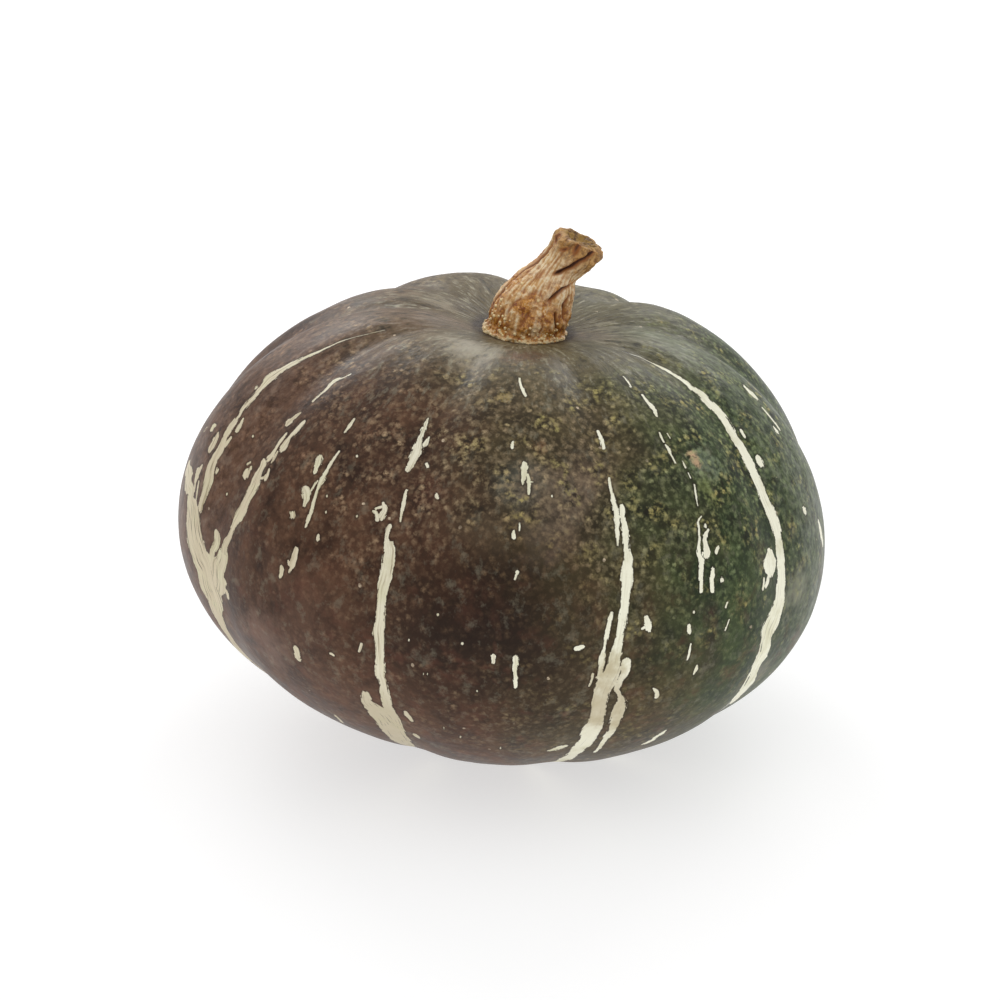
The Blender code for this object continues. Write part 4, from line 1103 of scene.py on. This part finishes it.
CUT_RINGS = 30
rim = side_points[-1]
heart = rim.mean(0)
cut_way = np.array([math.sin(CUT_TILT), 0, math.cos(CUT_TILT)])
cut = []
for step in range(1, CUT_RINGS):
    inward = step / CUT_RINGS
    flat = rim + (heart - rim) * inward
    flat = flat - np.outer((flat - heart) @ cut_way, cut_way) * min(1, inward * 4)
    fibre = roughness_at(flat, 0.9, 3, 2.0) * 0.25 + roughness_at(flat, 2.6, 2, 7.0) * 0.55
    lip = 0.40 * math.sin(math.pi * min(1, inward * 2.6)) - 0.9 * eased(0.25, 0.8, inward)
    cut.append(flat + np.outer((lip + fibre * min(1, inward * 4)) * MM, cut_way))
rings = np.concatenate([side_points, np.array(cut)])
cut_middle = heart - cut_way * 0.9 * MM
foot_middle = np.array([0, 0, hollow_floor(0) - SUNK])
lean = np.array(TILT)
points = np.vstack([rings.reshape(-1, 3), cut_middle, foot_middle]) @ lean.T + np.array(FRUIT_CENTRE)
print("cut end", round(1000 * float(np.linalg.norm(rim - heart, axis=1).mean()) * 2, 1), "mm across")

# %% Make the stem's mesh
ring_count = len(rings)
here, beside = np.arange(STEM_SIDES), (np.arange(STEM_SIDES) + 1) % STEM_SIDES
faces = []
for row in range(ring_count - 1):
    low, high = row * STEM_SIDES, (row + 1) * STEM_SIDES
    faces += np.stack([low + here, low + beside, high + beside, high + here], 1).tolist()
last, tip, base = (ring_count - 1) * STEM_SIDES, ring_count * STEM_SIDES, ring_count * STEM_SIDES + 1
faces += np.stack([last + here, last + beside, np.full(STEM_SIDES, tip)], 1).tolist()
faces += np.stack([beside, here, np.full(STEM_SIDES, base)], 1).tolist()
stem_mesh = bpy.data.meshes.new("stem")
stem_mesh.from_pydata(points.tolist(), [], faces)
shape = bmesh.new()
shape.from_mesh(stem_mesh)
bmesh.ops.recalc_face_normals(shape, faces=shape.faces)
shape.to_mesh(stem_mesh)
shape.free()
stem_mesh.shade_smooth()

from_front = (np.degrees(around) - 270 + 180) % 360 - 180
beaded = (1.0 * bump_at(share, 0.10, 0.045) * bump_at(from_front, 0, 110)
          + 0.9 * bump_at(share, 0.20, 0.12) * bump_at(from_front, -58, 26)
          + 0.5 * bump_at(share, 0.17, 0.10) * bump_at(from_front, 30, 30)
          + 0.10 * bump_at(share, 0.35, 0.3) * bump_at(from_front, -20, 60))
beaded = beaded * eased(0.03, 0.06, share)


def on_the_side(values, on_cut_value):
    """A value for every vertex: the side's own, and one for the cut face and the two middles."""
    spread = np.broadcast_to(values, (STEM_RINGS + 1, STEM_SIDES)).reshape(-1)
    return np.concatenate([spread, np.full(STEM_SIDES * (CUT_RINGS - 1) + 2, on_cut_value)])


on_cut = np.concatenate([np.zeros(STEM_SIDES * (STEM_RINGS + 1)),
                         np.repeat(np.arange(1, CUT_RINGS) / CUT_RINGS, STEM_SIDES), [1.0, 0.0]])
stem_facts = {"fissure": on_the_side(fissures, 0), "up_the_stem": on_the_side(share, 1), "on_the_cut": on_cut,
              "crust": on_the_side(crust, 0), "beaded": on_the_side(beaded, 0), "striation": on_the_side(striation, 0)}
for name, values in stem_facts.items():
    stem_mesh.attributes.new(name, "FLOAT", "POINT").data.foreach_set("value", values.astype(np.float32))
stem = in_the_scene("dressed_stem", stem_mesh)
print(sum(len(p.vertices) - 2 for p in stem_mesh.polygons), "triangles in the stem")

# %% [markdown]
# Its finish is dry cork: matte and tan with pinkish patches, reddish brown in the fissures, ochre at its end and
# where it was cut, amber and a little glossy where sap has soaked the foot, and pale on the crust. It is laid in
# layers, as the rind is.

# %% Cork
cork = bpy.data.materials.new("dry_cork")
cork.use_nodes = True
nodes = cork.node_tree
surface = nodes.nodes["Principled BSDF"]
TAN, PINKISH, BUFF = linear("DAAC70"), linear("DEBA92"), linear("F8E6C2")
AMBER, RUSSET, FISSURE = linear("D6963E"), linear("A0602A"), linear("4A240E")
CRUST, TIP, OCHRE = linear("EBD5A6"), linear("7A5426"), linear("BE8C44")
CUT, CUT_DARK, SAPPY_DARK = linear("A07C38"), linear("5A3A1C"), linear("8A4A1C")
spot = add(nodes, "ShaderNodeTexCoord").outputs["Object"]
stem_fact = {name: add(nodes, "ShaderNodeAttribute", attribute_name=name).outputs["Fac"] for name in stem_facts}
patches = add(nodes, NOISE, {"Vector": spot, "Scale": 1 / (5 * MM), "Detail": 4.0, "Roughness": 0.65})
crumbs = add(nodes, NOISE, {"Vector": spot, "Scale": 1 / (1.3 * MM), "Detail": 4.0, "Roughness": 0.7})
raised, sunken, split = (add(nodes, MATH, {0: crumbs, 1: amount, 2: stem_fact[name]}, operation="MULTIPLY_ADD")
                         for amount, name in ((2.2, "striation"), (1.6, "striation"), (0.7, "fissure")))
low_part = add(nodes, RANGE, {"Value": stem_fact["up_the_stem"], "From Min": 0.05, "From Max": 0.80,
                              "To Min": 0.22, "To Max": -0.06})
soaked = add(nodes, MATH, {0: patches, 1: low_part}, operation="ADD")
soaked = add(nodes, RANGE, {"Value": soaked, "From Min": 0.50, "From Max": 0.66})
sappy = lay(nodes, SAPPY_DARK, AMBER, crumbs, (0.40, 0.56))
at_end = lay(nodes, TIP, OCHRE, crumbs, (0.42, 0.58))
cut_colour = lay(nodes, CUT, CUT_DARK, crumbs, (0.55, 0.38))
crust_colour = lay(nodes, CRUST, AMBER, crumbs, (0.52, 0.36))
bark = lay(nodes, TAN, PINKISH, patches, (0.42, 0.58))
CORK_LAYERS = (                 # colour, what it is read from, over which span, and how strong it is at most
    (BUFF, raised, (1.08, 1.60), 0.85), (RUSSET, sunken, (0.82, 0.20), 0.8), (sappy, soaked, (0.0, 1.0), 1.0),
    (BUFF, crumbs, (0.56, 0.66), 0.7), (at_end, stem_fact["up_the_stem"], (0.74, 0.92), 0.85),
    (RUSSET, split, (0.50, 0.85), 0.85), (FISSURE, split, (0.95, 1.45), 1.0),
    (cut_colour, stem_fact["on_the_cut"], (0.05, 0.35), 1.0), (crust_colour, stem_fact["crust"], (0.0, 1.0), 1.0))
for over, measure, span, most in CORK_LAYERS:
    bark = lay(nodes, bark, over, measure, span, (0.0, most))
nodes.links.new(bark.outputs[2], surface.inputs["Base Color"])
dry = add(nodes, RANGE, {"Value": soaked, "To Min": 0.66, "To Max": 0.30})
nodes.links.new(dry.outputs[0], surface.inputs["Roughness"])
rough_mm = add(nodes, MATH, {0: crumbs, 1: 0.35}, operation="MULTIPLY")
bump = add(nodes, "ShaderNodeBump", {"Height": rough_mm, "Distance": MM, "Strength": 1.0})
nodes.links.new(bump.outputs[0], surface.inputs["Normal"])
stem_mesh.materials.append(cork)
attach(stem, "root")
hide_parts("stem")
print(len(nodes.nodes), "nodes in the cork")

# %% [markdown]
# Sap has dried on the foot in small glossy beads. A Geometry Nodes tree scatters them, thickest where the photograph
# shows them, with a fixed seed.

# %% Beads of dried sap
def plain_finish(name, values):
    """A material that has the same values everywhere, set on its shader's inputs."""
    finish = bpy.data.materials.new(name)
    finish.use_nodes = True
    for title, value in values.items():
        finish.node_tree.nodes["Principled BSDF"].inputs[title].default_value = value
    return finish


sap = plain_finish("dried_sap", {"Base Color": linear("F0D8A4"), "Roughness": 0.16})
BEADS = {"Beads to a square metre": 420000.0, "Smallest": 0.16 * MM, "Largest": 0.48 * MM, "Seed": 5, "Sap": sap}
BEAD_FACES = 80
tree, wanted = geometry_tree("sap_beads", BEADS)
beaded_here = add(tree, "GeometryNodeInputNamedAttribute", {"Name": "beaded"}, data_type="FLOAT").outputs["Attribute"]
density = add(tree, MATH, {0: beaded_here, 1: wanted["Beads to a square metre"]}, operation="MULTIPLY")
scattered = add(tree, "GeometryNodeDistributePointsOnFaces",
                {"Mesh": wanted["Geometry"], "Density": density, "Seed": wanted["Seed"]})
size = add(tree, "FunctionNodeRandomValue", {2: wanted["Smallest"], 3: wanted["Largest"], 8: wanted["Seed"]},
           data_type="FLOAT")
ball = add(tree, "GeometryNodeMeshIcoSphere", {"Radius": 1.0, "Subdivisions": 2})
placed = add(tree, "GeometryNodeInstanceOnPoints",
             {"Points": scattered.outputs["Points"], "Instance": ball, "Rotation": scattered.outputs["Rotation"],
              "Scale": size.outputs[1]})
real = add(tree, "GeometryNodeRealizeInstances", {"Geometry": placed})
glossy = add(tree, "GeometryNodeSetMaterial", {"Geometry": real, "Material": wanted["Sap"]})
add(tree, "NodeGroupOutput", {0: glossy})
beads_mesh = grow("sap_beads", tree, BEADS, stem_mesh)
beads_mesh.shade_smooth()
beads = in_the_scene("sap_beads", beads_mesh)
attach(beads, "root")
print(len(beads_mesh.polygons) // BEAD_FACES, "beads of sap")

# %% [markdown]
# ## Floor and light
#
# The squash lies on a sheet of white acrylic that is lit from below, as small things often are for a catalogue, so
# its shadow stays faint. Round it is soft studio light: brighter above than at the sides, and two panels behind
# the squash, whose sheen lies on the shoulders of the rind.

# %% Floor and light
FLOOR_REACH = 4                 # metres
AT_SIDES, ABOVE = 0.50, 0.97    # the strength of the light from the sides and from above
PANEL_SIDE = 0.6                # metres
PANELS = {"left_panel": ((-0.42, 1.0, 0.80), 4.5), "right_panel": ((0.42, 1.0, 0.75), 3.5)}     # place, watts

floor_mesh = bpy.data.meshes.new("floor")
outline = [(FLOOR_REACH * x, FLOOR_REACH * y, 0) for x, y in ((-1, -1), (1, -1), (1, 1), (-1, 1))]
floor_mesh.from_pydata(outline, [], [(0, 1, 2, 3)])
floor_mesh.materials.append(plain_finish("white_acrylic", {
    "Base Color": linear("B4B4B4"), "Roughness": 0.9, "Emission Color": linear("FFFFFF"), "Emission Strength": 0.62}))
in_the_scene("floor", floor_mesh)

world = bpy.data.worlds.new("studio")
world.use_nodes = True
sky = world.node_tree
upward = add(sky, "ShaderNodeSeparateXYZ", {0: add(sky, "ShaderNodeTexCoord").outputs["Generated"]})
strength = add(sky, RANGE, {"Value": upward.outputs[2], "From Min": 0.1, "From Max": 0.95, "To Min": AT_SIDES,
                            "To Max": ABOVE}, interpolation_type="SMOOTHSTEP")
sky.nodes["Background"].inputs["Color"].default_value = linear("FFFFFF")
sky.links.new(strength.outputs[0], sky.nodes["Background"].inputs["Strength"])
bpy.context.scene.world = world

for name, (place, watts) in PANELS.items():
    light = bpy.data.lights.new(name, "AREA")
    light.size = PANEL_SIDE
    light.energy = watts
    lamp = in_the_scene(name, light)
    lamp.location = place
    lamp.rotation_euler = (Vector(place) - FRUIT_CENTRE).to_track_quat("Z", "Y").to_euler()     # it faces the squash
bpy.context.scene.view_settings.view_transform = "Standard"
